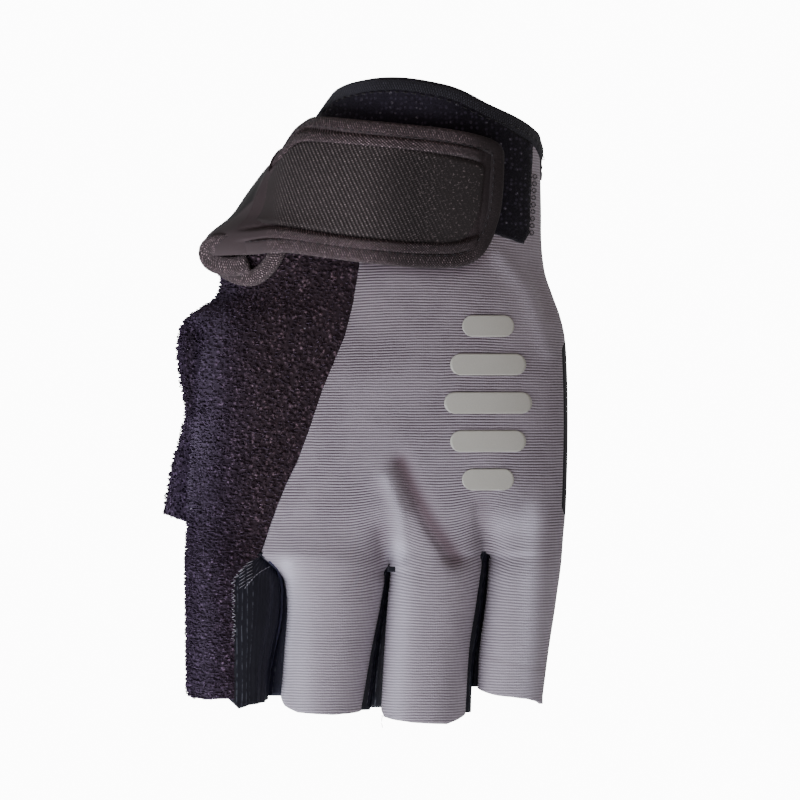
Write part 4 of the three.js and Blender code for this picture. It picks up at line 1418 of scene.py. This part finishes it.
def palm_group(finger):
    """Placing function for the palm's part over one finger"""
    number = ("index", "middle", "ring", "little").index(finger)
    before_slot = SLOTS[number - 1] if number else None
    after_slot = SLOTS[number] if number < 3 else None
    left_top = slot_line_x(before_slot, 0.0) if before_slot else -29.0
    right_top = slot_line_x(after_slot, 0.0) if after_slot else 27.0

    def place(u, v):
        head = palm_head(left_top + (right_top - left_top) * u)
        foot = hem_height(finger, u) + 0.6
        z = split_rows(head, PALM_LEVELS, foot, v)
        left_edge = slot_edge(before_slot, "after", z, True) if before_slot else thumb_side_seam(z)
        right_edge = slot_edge(after_slot, "before", z, True) if after_slot else little_side_seam(z)
        first = np.pi - REAR_SEAM if before_slot else INDEX_SIDE
        last = REAR_SEAM if after_slot else LITTLE_SIDE
        hand_end = None if after_slot else -little_side_angle(z)
        return finger_panel(finger, u, z, left_edge, right_edge, first, last, True, hand_end)

    return place


def inside_thumb(x, y, z):
    """Below 0 inside the thumb's hollow, above 0 outside it"""
    centre_x, centre_y, half_x, half_y = section(THUMB, z, -THUMB_WALL)
    across = np.abs(x - centre_x) / half_x
    deep = np.abs(y - centre_y) / half_y
    return (across ** FINGER_ROUNDNESS + deep ** FINGER_ROUNDNESS) ** (1 / FINGER_ROUNDNESS) - 1


def open_thumb_hole(piece):
    """Take out the cloth inside the thumb's root and draw the hole's edge smooth"""
    with edited(piece.data) as bm:
        rim = {vert for edge in bm.edges if edge.is_boundary for vert in edge.verts}
        gone = []
        for face in bm.faces:
            x, y, z = np.array(face.calc_center_median()) / MM
            if THUMB_ROOT[0] < z < THUMB_ROOT[1] and inside_thumb(x, y, z) < 0:
                gone.append(face)
        bmesh.ops.delete(bm, geom=gone, context="FACES")
        for edge in bm.edges:
            for vert in edge.verts:
                if edge.is_boundary and vert not in rim:
                    x, y, z = np.array(vert.co) / MM
                    centre = thumb_axis((x, y, z))[:2]
                    reach = np.array([x, y]) - centre
                    moved = centre + reach / (1 + inside_thumb(x, y, z))
                    vert.co.x = moved[0] * MM
                    vert.co.y = moved[1] * MM


def make_palm_panel():
    """Black palm with the palm sides of the fingers, opened where the thumb joins"""
    pieces = []
    for finger in ("index", "middle", "ring", "little"):
        pieces.append(mapped_grid("part", 30, 170, palm_group(finger), outward=hand_axis))
    piece = join_pieces("palm_panel_cloth", pieces, CLOTH["palm"])
    open_thumb_hole(piece)
    settle(piece, "palm_leather", ["palm_panel"])


def thumb_axis(point):
    """Middle of the thumb at a point's height"""
    x, y, _, _ = section(THUMB, point[2])
    return np.array([x, y, point[2]])


def thumb_head(angle):
    """Height at which the thumb's tube comes out of the hand, round the tube"""
    heads = np.full(np.shape(angle), -57.0)
    for z in np.linspace(-57, -104, 95):
        point = limb_point(THUMB, z, angle, FINGER_ROUNDNESS)
        centre_x, centre_y, half_x, half_y = section(HAND, z)
        across = np.abs(point[..., 0] - centre_x) / half_x
        deep = np.abs(point[..., 1] - centre_y) / half_y
        inside = across ** HAND_ROUNDNESS + deep ** HAND_ROUNDNESS < 1
        heads = np.where(inside, z, heads)
    return heads + 1.5


def place_thumb(u, v, first, last):
    """Place on the thumb's tube between two turns: u round it, v from the hand to the hem"""
    angle = first + (last - first) * u
    head = thumb_head(angle)
    foot = -105.4 - 0.30 * 12.3 * np.cos(angle)
    return limb_point(THUMB, head + (foot - head) * v, angle, FINGER_ROUNDNESS)


def make_thumb():
    """Thumb tube: terry on its outer side, palm cloth on its inner side"""
    def outer(u, v):
        return place_thumb(u, v, THUMB_SEAM, THUMB_SEAM + np.pi)

    def rough(u, v):
        return rough_up(outer(u, v), thumb_axis, 1.5, 0.32, 6)

    def inner(u, v):
        return place_thumb(u, v, THUMB_SEAM - np.pi, THUMB_SEAM)

    piece = mapped_grid("thumb_terry_cloth", 72, 80, rough, CLOTH["terry"], outward=thumb_axis)
    settle_terry(piece, ["thumb_terry"])
    settle_terry(yarn_loops("thumb_loops", outer, thumb_axis, (0.0, 1.0), (0.0, 1.0), 13), [])
    piece = mapped_grid("thumb_palm_cloth", 48, 50, inner, CLOTH["palm"], outward=thumb_axis)
    settle(piece, "palm_leather", ["thumb_palm"])


def curve(a, b, c, d, t):
    """Point of a smooth curve between b and c, with its neighbours a and d"""
    return 0.5 * (2 * b + (c - a) * t + (2 * a - 5 * b + 4 * c - d) * t ** 2
                  + (3 * b - a - 3 * c + d) * t ** 3)


def even_path(points, normals, step):
    """Evenly spaced points along a line, with their outward directions"""
    points = np.array(points)
    normals = np.array(normals)
    path = resample(points, step)
    length = length_along(points)
    share = np.linspace(0, length[-1], len(path))
    out = np.stack([np.interp(share, length, normals[:, axis]) for axis in range(3)], axis=-1)
    return path, unit(out)


def wrist_path(inset, step=1.0):
    """Line inside the wrist edge from the slit round the little finger side and the palm to the thumb side"""
    edge = resample([(-31.0, -9.0), (-30.2, -4.5)] + list(WRIST_EDGE[1:-1]), 1.0)
    along = unit(np.gradient(edge, axis=0))
    shallow = 1 - 0.7 * smoothstep((edge[:, 0] - 12) / 13)
    line = edge + np.stack([along[:, 1], -along[:, 0]], axis=-1) * (inset * shallow)[:, None]
    point, normal = on_hand(line[:, 0], line[:, 1])
    points = list(point)
    normals = list(normal)
    for turn in np.linspace(math.radians(-3), HAND_SIDE, 76):
        z = palm_head(float(limb_point(HAND, -12.0, turn, HAND_ROUNDNESS)[0])) - inset
        point = limb_point(HAND, z, turn, HAND_ROUNDNESS)
        ahead = limb_point(HAND, z, turn + 0.02, HAND_ROUNDNESS)
        normal = np.cross(ahead - point, np.array([0, 0, 1.0]))
        points.append(point)
        normals.append(unit(normal))
    return even_path(points, normals, step)


def make_cuff_binding():
    """Tape folded over the wrist edge"""
    path, out = wrist_path(TAPES["cuff"][0] / 2 - 0.2)
    piece = sweep_tape("cuff_binding_tape", path, out, *TAPES["cuff"])
    settle(piece, "tape", ["cuff_binding"], "cuff_tape")
    # Painted light on the cuff towards the thumb side, where the lamp's light falls
    mark(piece, "light", lambda x, y, z: 0.42 * smoothstep((-11 - x) / 10))


def make_slit_binding():
    """Tape round the foot of the wrist slit, and its fold on the thumb side"""
    line = resample(SLIT_TAPE, 0.9)
    lift = np.interp(line[:, 1], (-42, -36, -31), (0.5, 0.6, 0.3))
    point, normal = on_hand(line[:, 0], line[:, 1], 0.0, reach=0.97)
    normal = unit(normal * 0.5 + np.array([0, -0.5, 0]))
    foot = sweep_tape("slit_foot", point + normal * lift[:, None], normal, *TAPES["slit"])
    line = resample(SLIT_FOLD, 0.7)
    lean = np.interp(line[:, 0], (-56, -43), (-0.62, -0.22))
    normal = unit(np.stack([lean, -np.ones(len(line)), np.zeros(len(line))], axis=-1))
    fold = sweep_tape("slit_fold", line, normal, *TAPES["slit_fold"])

    def place(u, v):
        x = -55.4 + (11.6 - 1.6 * v) * u
        y = np.interp(x, (-56, -43), (-8.4, -15.4))
        return np.stack([x, y, -33.6 - 5.0 * v], axis=-1)

    lining = mapped_grid("fold_lining", 16, 8, place, outward=hand_axis)
    piece = join_pieces("slit_binding_tape", [foot, fold, lining])
    settle(piece, "tape", ["slit_binding"])


def strap_stations(front, behind, lift):
    """Strap stations as angles round the hand: top angle, top z, bottom angle, bottom z"""
    rows = []
    for top_x, top_z, foot_x, foot_z in front:
        top = angle_at_x(HAND, top_z, top_x, HAND_ROUNDNESS, False, lift)
        foot = angle_at_x(HAND, foot_z, foot_x, HAND_ROUNDNESS, False, lift)
        rows.append((float(top), top_z, float(foot), foot_z))
    for top, top_z, foot, foot_z in behind:
        rows.append((math.radians(top), top_z, math.radians(foot), foot_z))
    return rows


def strap_table(stations, u):
    """Columns of a strap table at shares u along it, smoothed"""
    table = np.array(stations, dtype=float)
    place = np.clip(u, 0, 1) * (len(table) - 1)
    row = np.clip(place.astype(int), 0, len(table) - 2)
    t = (place - row)[:, None]
    a = table[np.maximum(row - 1, 0)]
    b = table[row]
    c = table[row + 1]
    d = table[np.minimum(row + 2, len(table) - 1)]
    return curve(a, b, c, d, t)


def strap_point(stations, u, v, lift):
    """Place on the strap and its outward direction: u from its end to the palm, v from its top edge down"""
    row = strap_table(stations, u)
    angle = row[:, 0] + (row[:, 2] - row[:, 0]) * v
    z = row[:, 1] + (row[:, 3] - row[:, 1]) * v
    return limb_point(HAND, z, angle, HAND_ROUNDNESS, lift), hand_normal(z, angle, lift)


def strap_lift(u, v):
    """The strap stands off the loop patch, sags back to the wrist on the thumb side and bulges at its turn"""
    turn = smoothstep((u - 0.62) / 0.14) * (1 - smoothstep((u - 0.86) / 0.14))
    bulge = 1.6 * turn * np.sin(np.pi * v) ** 0.7
    return STRAP_LIFT - 0.9 * smoothstep((u - 0.5) * 3) + 0.4 * np.sin(np.pi * v) + bulge


def strap_border(stations, point, u, v):
    """Distance in millimetres from the strap's long edges and from its end"""
    row = strap_table(stations, u)
    return np.minimum(v, 1 - v) * (row[:, 1] - row[:, 3]), STRAP[0][0] - 1.4 * v - point[:, 0]


def mark(piece, name, value):
    """Write an attribute that the piece's material reads, from a function of place in millimetres"""
    mesh = piece.data
    places = np.zeros(len(mesh.vertices) * 3)
    mesh.vertices.foreach_get("co", places)
    x, y, z = places.reshape(-1, 3).T / MM
    mesh.attributes.new(name, "FLOAT", "POINT").data.foreach_set("value", value(x, y, z).astype(float))


def strap_dark_and_painted_shade(x, y, z):
    """The strap is darker towards its end, partly its own colour and partly painted shade, and darkened by
    painted shadow left of a line on the thumb side
    """
    end = 0.62 * smoothstep((x + 19) / 15) * (1 - 0.6 * smoothstep((z + 13) / 4) * smoothstep((12 - x) / 6))
    end = end + 0.18 * smoothstep((x - 11) / 3)
    side = smoothstep((np.interp(z, *zip(*STRAP_SHADOW)) - x) / 1.2)
    return np.maximum(end, side * smoothstep((z + 31) / 3))


def strap_plain(x, y, z):
    """The weave fades out at the strap's end and towards the thumb side"""
    return np.maximum(smoothstep((x - 6) / 8) * 0.8, smoothstep((-37 - x) / 5))


def make_strap():
    """Closure strap with a padded ridge between its tape and its face"""
    stations = strap_stations(STRAP, STRAP_BEHIND, STRAP_LIFT)

    def place(u, v):
        point = strap_point(stations, u, v, strap_lift(u, v))[0]
        border, end = strap_border(stations, point, u, v)
        ridge = 1.0 * smoothstep((border - 3.2) / 0.6) * (1 - smoothstep((border - 5.7) / 0.6))
        ridge = ridge - 0.8 * np.exp(-((border - 6.5) / 0.4) ** 2)
        ridge = ridge * (1 - smoothstep((u - 0.62) * 8)) * smoothstep((end - 4.5) / 2.5)
        groove = 0.4 * np.exp(-((end - 5.0) / 0.5) ** 2) * smoothstep((border - 3.5) / 1.5)
        return strap_point(stations, u, v, strap_lift(u, v) + ridge - groove)[0]

    piece = mapped_grid("strap_cloth", 190, 90, place, CLOTH["strap"], outward=hand_axis,
                        uv=lambda u, v: np.stack([u * 125, v * 34], axis=-1))
    settle(piece, "tape", ["strap"])
    mark(piece, "dim", strap_dark_and_painted_shade)
    mark(piece, "plain", strap_plain)


def arc_at_x(x, z=-20.0):
    """Length along the back of the wrist from its middle to a place"""
    places = np.linspace(-41.9, 28.0, 400)
    y = limb_point(HAND, z, angle_at_x(HAND, z, places, HAND_ROUNDNESS), HAND_ROUNDNESS)[:, 1]
    length = np.concatenate([[0], np.cumsum(np.hypot(np.diff(places), np.diff(y)))])
    return np.interp(x, places, length)


def face_dark_and_painted_shade(x, y, z):
    """The face gets the strap's darkening and painted shade, less of it at its end"""
    return strap_dark_and_painted_shade(x, y, z) * 0.6 + 0.4 * strap_dark_and_painted_shade(np.minimum(x, 0), y, z)


def face_plain(x, y, z):
    """The face's rows fade out at its end and towards the thumb side"""
    return np.maximum(0.75 * smoothstep((x + 5) / 12), smoothstep((-35 - x) / 5))


def face_speck(x, y, z):
    """The face is specked at its end"""
    return 0.4 * smoothstep((x + 12) / 12)


def make_strap_face():
    """Woven face let into the strap"""
    stations = strap_stations(FACE, (), STRAP_LIFT)

    def place(u, v):
        edge = np.minimum(np.minimum(v, 1 - v) * 24, np.minimum(u * 60, (1 - u) * 60 + 3))
        rise = 0.45 * smoothstep(edge / 1.2) - 0.5
        return strap_point(stations, u, v, STRAP_LIFT + 0.55 + rise)[0]

    def pattern(u, v):
        point = place(u, v)
        return np.stack([-arc_at_x(point[:, 0]), -point[:, 2]], axis=-1)

    piece = mapped_grid("strap_face_cloth", 130, 60, place, 0.5, outward=hand_axis, uv=pattern)
    settle(piece, "webbing", ["strap_face"])
    mark(piece, "dim", face_dark_and_painted_shade)
    mark(piece, "plain", face_plain)
    mark(piece, "speck", face_speck)


def strap_outline(inset, step=0.9):
    """Line inside the strap's edge: along its top, round its end and back along its foot to the thumb side"""
    stations = strap_stations(STRAP, STRAP_BEHIND, STRAP_LIFT)
    top = [(u, 0.0) for u in np.linspace(0.98, 0.0, 90)]
    end = [(0.0, v) for v in np.linspace(0.1, 0.9, 9)]
    foot = [(u, 1.0) for u in np.linspace(0.0, 0.77, 70)]
    shares = np.array(top + end + foot)
    point, out = strap_point(stations, shares[:, 0], shares[:, 1], strap_lift(shares[:, 0], shares[:, 1]))
    keep = [0]
    for place in range(1, len(point)):
        if np.linalg.norm(point[place] - point[keep[-1]]) > 0.8:
            keep.append(place)
    path, out = even_path(point[keep], out[keep], step)
    along = np.gradient(path, axis=0)
    for _ in range(4):
        along[1:-1] = (along[:-2] + along[1:-1] + along[2:]) / 3
    path = path + unit(np.cross(along, out)) * inset
    sink = 2.4 * smoothstep((np.arange(len(path)) - len(path) + 1) * step / 9 + 1)
    behind = 2.0 * smoothstep((path[:, 1] + 12) / 6) * (path[:, 2] > -25)
    return path - out * (sink + behind)[:, None], out


def make_strap_binding():
    """Tape round the strap's edge"""
    path, out = strap_outline(1.7)
    piece = sweep_tape("strap_binding_tape", path, out, *TAPES["strap"])
    settle(piece, "tape", ["strap_binding"])
    mark(piece, "dim", strap_dark_and_painted_shade)
    mark(piece, "plain", strap_plain)


def patch_foot(x):
    """Height of the loop patch's lower edge"""
    return np.interp(x, (-24, 0, 15.5, 23.6), (-27, -29, -30.8, -33.4))


def patch_point(u, v, lift):
    """Place on the loop patch under the strap"""
    right = 25.9 - 1.0 * v - 1.4 * smoothstep((v - 0.88) / 0.12)
    x = -29.0 + (right + 29.0) * u
    head = wrist_height(x) - 2.6
    z = head + (patch_foot(x) - head) * v
    return on_hand(x, z, lift)[0]


def make_loop_patch():
    """Fuzzy loop side of the closure, with bright fibres in its colour"""
    def place(u, v):
        edge = np.minimum(np.minimum(u * 50, (1 - u) * 50), np.minimum(v, 1 - v) * 30)
        lift = LOOP_PATCH_LIFT * smoothstep(edge / 0.8 + 0.3)
        return rough_up(patch_point(u, v, lift), hand_axis, 1.1, 0.22, 8)

    piece = mapped_grid("loop_patch_cloth", 120, 80, place, 0.8, outward=hand_axis)
    settle(piece, "hook_and_loop", ["loop_patch"])
    mark(piece, "plain", lambda x, y, z: smoothstep((patch_foot(x) + 3.4 - z) / 0.8))
    # Painted light on the patch's upper part left of the strap's end, where the strap shades it
    mark(piece, "light", lambda x, y, z: 0.5 * smoothstep((12 - x) / 12) * smoothstep((z + 6) / 6))


def make_hook_patch():
    """Hook side of the closure under the strap's end"""
    def place(u, v):
        x = -10 + 22 * u
        head = -9.6 - 4.0 * u
        z = head + (-26 - head) * v
        return on_hand(x, z, 2.1)[0]

    piece = mapped_grid("hook_patch_cloth", 30, 24, place, 0.6, outward=hand_axis)
    settle(piece, "hook_and_loop", ["hook_patch"])


def make_bars():
    """Light reflective bars on the grey back"""
    lift = bpy.context.scene.glove_sizes.film_lift
    for number in range(BARS["count"]):
        middle = BARS["top"] - number * BARS["pitch"]
        radius = BARS["height"] / 2
        half = BARS["widths"][number] / 2 - radius

        def place(u, v, middle=middle, half=half, radius=radius):
            up = 2 * v - 1
            reach = half + radius * np.sqrt(np.maximum(0, 1 - (up * 0.995) ** 2))
            x = BARS["x"] + (2 * u - 1) * reach
            point, out = on_hand(x, middle + up * radius, 0.0)
            point = raise_folds(point, hand_axis)
            return point + out * lift

        piece = mapped_grid("bar_%d_film" % (number + 1), 28, 16, place, 0.25, outward=hand_axis)
        settle(piece, "reflective", ["bar_%d" % (number + 1)])


def make_stitches():
    """Thread: rows on the strap and the cuff, rings beside the loop patch and stitches in the first slot"""
    path, out = strap_outline(3.1)
    row = stitch_row("strap_stitches", path + out * 0.5, out, *STITCH_ROWS["strap"])
    settle(row, "tape", finish="dark_thread")
    path, out = wrist_path(TAPES["cuff"][0] - 0.6)
    row = stitch_row("cuff_stitches", path + out * 0.95, out, *STITCH_ROWS["cuff"])
    settle(row, "tape", finish="dark_thread")
    make_rings()
    make_wrist_cord()
    make_overlock()
    make_fan()
    make_slot_fold()
    make_slot_top()
    loose = thread_line("loose_thread", LOOSE_THREAD, BACKWARD, 0.1)
    settle(loose, "grey_knit", finish="grey_thread")
    loose = thread_line("loose_end", LOOSE_END, BACKWARD, 0.09)
    settle(loose, "lycra", finish="dark_thread")


def make_rings():
    """Row of small thread rings on the grey beside the loop patch"""
    rings = []
    turn = np.linspace(0, 2 * np.pi, 9)
    for number in range(RINGS["count"]):
        x = RINGS["x"] - number * RINGS["lean"] + RINGS["radius"] * np.cos(turn)
        z = RINGS["top"] - number * RINGS["pitch"] + RINGS["radius"] * np.sin(turn)
        points, normals = on_hand(x, z, 0.1, reach=0.992)
        rings.append(thread_line("ring", points, normals[0], RINGS["thread"]))
    settle(join_pieces("patch_edge_rings", rings), "grey_knit", finish="dark_thread")


def make_wrist_cord():
    """Dark cord down the wrist's right edge, with a thinner one below it"""
    cords = []
    for top, foot, x, thick in WRIST_RIGHT:
        z = np.arange(top, foot, -0.8)
        points = on_hand(np.full(len(z), 60.0), z, 0.1, reach=0.999)[0]
        points[:, 0] = x + 0.12 * np.sin(3.1 * z)
        cords.append(sweep_tape("cord", points, np.tile([1.0, 0, 0], (len(z), 1)), 1.2, thick))
    settle(join_pieces("wrist_edge_cord", cords), "grey_knit", finish="dark_thread")


def strip_place(x, z, lift=0.2):
    """Point at a place seen from the back on the index finger's side of the first slot"""
    leg = strip_leg(SLOTS[0], "before", np.full(60, z), np.linspace(0, 0.6, 60))
    point = np.array([np.interp(x, leg[:, 0], leg[:, axis]) for axis in range(3)])
    return point + np.array(SLOT_OUTWARD) * lift


def make_overlock():
    """Zigzag of thread along the terry's edge in the first slot"""
    chain = []
    generator = np.random.default_rng(21)
    for number, z in enumerate(np.arange(OVERLOCK["top"], OVERLOCK["foot"], -OVERLOCK["pitch"])):
        edge = float(strip_leg(SLOTS[0], "before", np.array([z]), np.array([0.0]))[0, 0])
        reach = OVERLOCK["reach"][number % 2] + 0.5 * generator.random()
        chain.append(strip_place(edge + reach, z + 0.4 * generator.random()))
    overlock = thread_line("overlock", chain, SLOT_OUTWARD, OVERLOCK["thread"])
    settle(overlock, "lycra", finish="grey_thread")


def make_fan():
    """Fan of short lines and an arc of thread under the first slot's top"""
    lines = []
    for number in range(FAN["count"]):
        line = [strip_place(x, z - FAN["pitch"] * number) for x, z in FAN["line"]]
        lines.append(thread_line("fan_line", line, SLOT_OUTWARD, 0.08))
    arc = [strip_place(x, z) for x, z in resample(FAN["arc"], 0.9)]
    lines.append(thread_line("arc", arc, SLOT_OUTWARD, 0.09))
    settle(join_pieces("fan_lines", lines), "lycra", finish="grey_thread")


def make_slot_fold():
    """Fold of the middle finger's strip in the first slot, made bright by a painted highlight"""
    line = []
    for z, x in resample(SLOTS[0]["meeting"][:-1], 1.0):
        leg = strip_leg(SLOTS[0], "after", np.full(80, z), np.linspace(0, 1, 80))
        near = np.argmax(leg[:, 0] < x + 0.3)
        line.append(leg[near] + np.array([-0.2, -0.35, 0]))
    fold = sweep_tape("slot_fold", line, np.tile(SLOT_OUTWARD, (len(line), 1)), *TAPES["slot_fold"])
    settle(fold, "lycra", finish="painted_highlight_lycra")


def make_slot_top():
    """Short tape across the top of the middle slot"""
    points, normals = on_hand(np.linspace(-10.6, -8.7, 8), np.full(8, -114.9), 0.15)
    top = sweep_tape("slot_top", points, normals, *TAPES["slot_top"])
    settle(top, "lycra")


def add_softbox(name, place, size, power, tint):
    """Large soft lamp that looks at the middle of the picture"""
    lamp = bpy.data.lights.new(name, "AREA")
    lamp.shape = "RECTANGLE"
    lamp.size = size
    lamp.size_y = size
    lamp.energy = power
    lamp.color = tint
    holder = bpy.data.objects.new(name, lamp)
    bpy.context.scene.collection.objects.link(holder)
    holder.location = place
    ahead = np.array((PHOTO_MIDDLE[0] * MM, 0, PHOTO_MIDDLE[1] * MM)) - np.array(place)
    flat = math.hypot(ahead[0], ahead[1])
    holder.rotation_euler = (math.atan2(flat, -ahead[2]), 0, math.atan2(-ahead[0], ahead[1]))


def backdrop_place(x, run):
    """Place on the backdrop, in metres: level floor, rounded corner, then upright"""
    flat = BACKDROP["floor"]
    radius = BACKDROP["radius"]
    corner = radius * math.pi / 2
    start = BACKDROP["start"]
    low = BACKDROP["height"]
    if run < flat:
        return x, start + run, low
    if run < flat + corner:
        angle = (run - flat) / radius
        return x, start + flat + radius * math.sin(angle), low + radius * (1 - math.cos(angle))
    return x, start + flat + radius, low + radius + run - flat - corner


def make_backdrop():
    """Seamless pale floor and backdrop that glows for the camera and lights the glove a little"""
    bm = bmesh.new()
    bmesh.ops.create_grid(bm, x_segments=2, y_segments=60, size=0.5)
    for vert in bm.verts:
        vert.co = backdrop_place(vert.co.x * BACKDROP["width"], (vert.co.y + 0.5) * BACKDROP["length"])
    backdrop = finish_piece("backdrop", mesh_from("backdrop", bm))
    paper = bpy.data.materials.new("backdrop_paper")
    paper.use_nodes = True
    surface = paper.node_tree.nodes["Principled BSDF"]
    surface.inputs["Base Color"].default_value = rgba(TINTS["paper"])
    surface.inputs["Roughness"].default_value = 0.9
    surface.inputs["Emission Strength"].default_value = BACKDROP["seen"]
    shade = Shade(paper.node_tree)
    seen = shade.node("ShaderNodeLightPath").outputs["Is Camera Ray"]
    glow = shade.blend(seen, rgba((1, 1, 1), BACKDROP["given"] / BACKDROP["seen"]), rgba((1, 1, 1)))
    shade.tree.links.new(glow, surface.inputs["Emission Color"])
    backdrop.data.materials.append(paper)


def make_stage():
    """Backdrop, soft lamps and an even faint light from all sides"""
    make_backdrop()
    for lamp in LAMPS:
        add_softbox(*lamp)
    world = bpy.data.worlds.new("studio")
    world.use_nodes = True
    sky = world.node_tree.nodes["Background"].inputs
    sky["Color"].default_value = (1, 1, 1, 1)
    sky["Strength"].default_value = SKY
    bpy.context.scene.world = world


def make_camera():
    """Camera level with the glove, square to the back of the hand"""
    data = bpy.data.cameras.new("camera")
    data.sensor_width = 36
    data.sensor_height = 36
    data.sensor_fit = "HORIZONTAL"
    data.lens = 36 * CAMERA_DISTANCE / (PHOTO_MM * MM)
    data.clip_end = 20
    camera = bpy.data.objects.new("camera", data)
    bpy.context.scene.collection.objects.link(camera)
    camera.location = (PHOTO_MIDDLE[0] * MM, -CAMERA_DISTANCE - GLOVE_FRONT, PHOTO_MIDDLE[1] * MM)
    camera.rotation_euler = (math.pi / 2, 0, 0)
    bpy.context.scene.camera = camera


class GLOVE_OT_camera(bpy.types.Operator):
    """Set the camera"""
    bl_idname = "glove.camera"
    bl_label = "Camera"

    def execute(self, context):
        make_camera()
        return {"FINISHED"}


class GLOVE_OT_back_panel(bpy.types.Operator):
    """Make the ribbed knit back"""
    bl_idname = "glove.back_panel"
    bl_label = "Grey back"

    def execute(self, context):
        make_back_panel()
        return {"FINISHED"}


class GLOVE_OT_terry_panel(bpy.types.Operator):
    """Make the terry panel"""
    bl_idname = "glove.terry_panel"
    bl_label = "Terry"

    def execute(self, context):
        make_terry_panel()
        return {"FINISHED"}


class GLOVE_OT_strips(bpy.types.Operator):
    """Make the lycra strips of the finger slots"""
    bl_idname = "glove.strips"
    bl_label = "Finger strips"

    def execute(self, context):
        make_strips()
        return {"FINISHED"}


class GLOVE_OT_palm_panel(bpy.types.Operator):
    """Make the palm"""
    bl_idname = "glove.palm_panel"
    bl_label = "Palm"

    def execute(self, context):
        make_palm_panel()
        return {"FINISHED"}


class GLOVE_OT_thumb(bpy.types.Operator):
    """Make the thumb tube"""
    bl_idname = "glove.thumb"
    bl_label = "Thumb"

    def execute(self, context):
        make_thumb()
        return {"FINISHED"}


class GLOVE_OT_cuff_binding(bpy.types.Operator):
    """Make the tape over the wrist edge"""
    bl_idname = "glove.cuff_binding"
    bl_label = "Cuff binding"

    def execute(self, context):
        make_cuff_binding()
        return {"FINISHED"}


class GLOVE_OT_slit_binding(bpy.types.Operator):
    """Make the tape round the wrist slit"""
    bl_idname = "glove.slit_binding"
    bl_label = "Slit binding"

    def execute(self, context):
        make_slit_binding()
        return {"FINISHED"}


class GLOVE_OT_strap(bpy.types.Operator):
    """Make the strap"""
    bl_idname = "glove.strap"
    bl_label = "Strap"

    def execute(self, context):
        make_strap()
        return {"FINISHED"}


class GLOVE_OT_strap_face(bpy.types.Operator):
    """Make the strap's woven face"""
    bl_idname = "glove.strap_face"
    bl_label = "Strap face"

    def execute(self, context):
        make_strap_face()
        return {"FINISHED"}


class GLOVE_OT_strap_binding(bpy.types.Operator):
    """Make the tape round the strap"""
    bl_idname = "glove.strap_binding"
    bl_label = "Strap binding"

    def execute(self, context):
        make_strap_binding()
        return {"FINISHED"}


class GLOVE_OT_loop_patch(bpy.types.Operator):
    """Make the loop patch"""
    bl_idname = "glove.loop_patch"
    bl_label = "Loop patch"

    def execute(self, context):
        make_loop_patch()
        return {"FINISHED"}


class GLOVE_OT_hook_patch(bpy.types.Operator):
    """Make the hook patch"""
    bl_idname = "glove.hook_patch"
    bl_label = "Hook patch"

    def execute(self, context):
        make_hook_patch()
        return {"FINISHED"}


class GLOVE_OT_bars(bpy.types.Operator):
    """Make the reflective bars"""
    bl_idname = "glove.bars"
    bl_label = "Reflective bars"

    def execute(self, context):
        make_bars()
        return {"FINISHED"}


class GLOVE_OT_stitches(bpy.types.Operator):
    """Make the visible stitches"""
    bl_idname = "glove.stitches"
    bl_label = "Stitches"

    def execute(self, context):
        make_stitches()
        return {"FINISHED"}


class GLOVE_OT_stage(bpy.types.Operator):
    """Make the backdrop and the lamps"""
    bl_idname = "glove.stage"
    bl_label = "Stage"

    def execute(self, context):
        make_stage()
        return {"FINISHED"}


# Operators in the order in which they run
OPERATORS = (
    GLOVE_OT_camera, GLOVE_OT_back_panel, GLOVE_OT_terry_panel, GLOVE_OT_strips,
    GLOVE_OT_palm_panel, GLOVE_OT_thumb, GLOVE_OT_cuff_binding, GLOVE_OT_slit_binding,
    GLOVE_OT_strap, GLOVE_OT_strap_face, GLOVE_OT_strap_binding, GLOVE_OT_loop_patch,
    GLOVE_OT_hook_patch, GLOVE_OT_bars, GLOVE_OT_stitches, GLOVE_OT_stage,
)


class GLOVE_PT_panel(bpy.types.Panel):
    """Buttons for every piece of the glove"""
    bl_idname = "GLOVE_PT_panel"
    bl_label = "Glove"
    bl_space_type = "VIEW_3D"
    bl_region_type = "UI"
    bl_category = "Glove"

    def draw(self, context):
        for holder in (context.scene.glove_colours, context.scene.glove_sizes):
            for name in holder.__annotations__:
                self.layout.prop(holder, name)
        for kind in OPERATORS:
            self.layout.operator(kind.bl_idname)


CLASSES = (GloveColours, GloveSizes) + OPERATORS + (GLOVE_PT_panel,)


def register():
    """Register the classes and hang the settings on the scene"""
    for kind in CLASSES:
        bpy.utils.register_class(kind)
    bpy.types.Scene.glove_colours = bpy.props.PointerProperty(type=GloveColours)
    bpy.types.Scene.glove_sizes = bpy.props.PointerProperty(type=GloveSizes)


def unregister():
    """Take the settings and the classes away again"""
    del bpy.types.Scene.glove_colours
    del bpy.types.Scene.glove_sizes
    for kind in reversed(CLASSES):
        bpy.utils.unregister_class(kind)


def main():
    """Make every piece by its operator"""
    register()
    for kind in OPERATORS:
        group, name = kind.bl_idname.split(".")
        getattr(getattr(bpy.ops, group), name)()


if __name__ == "__main__":
    main()
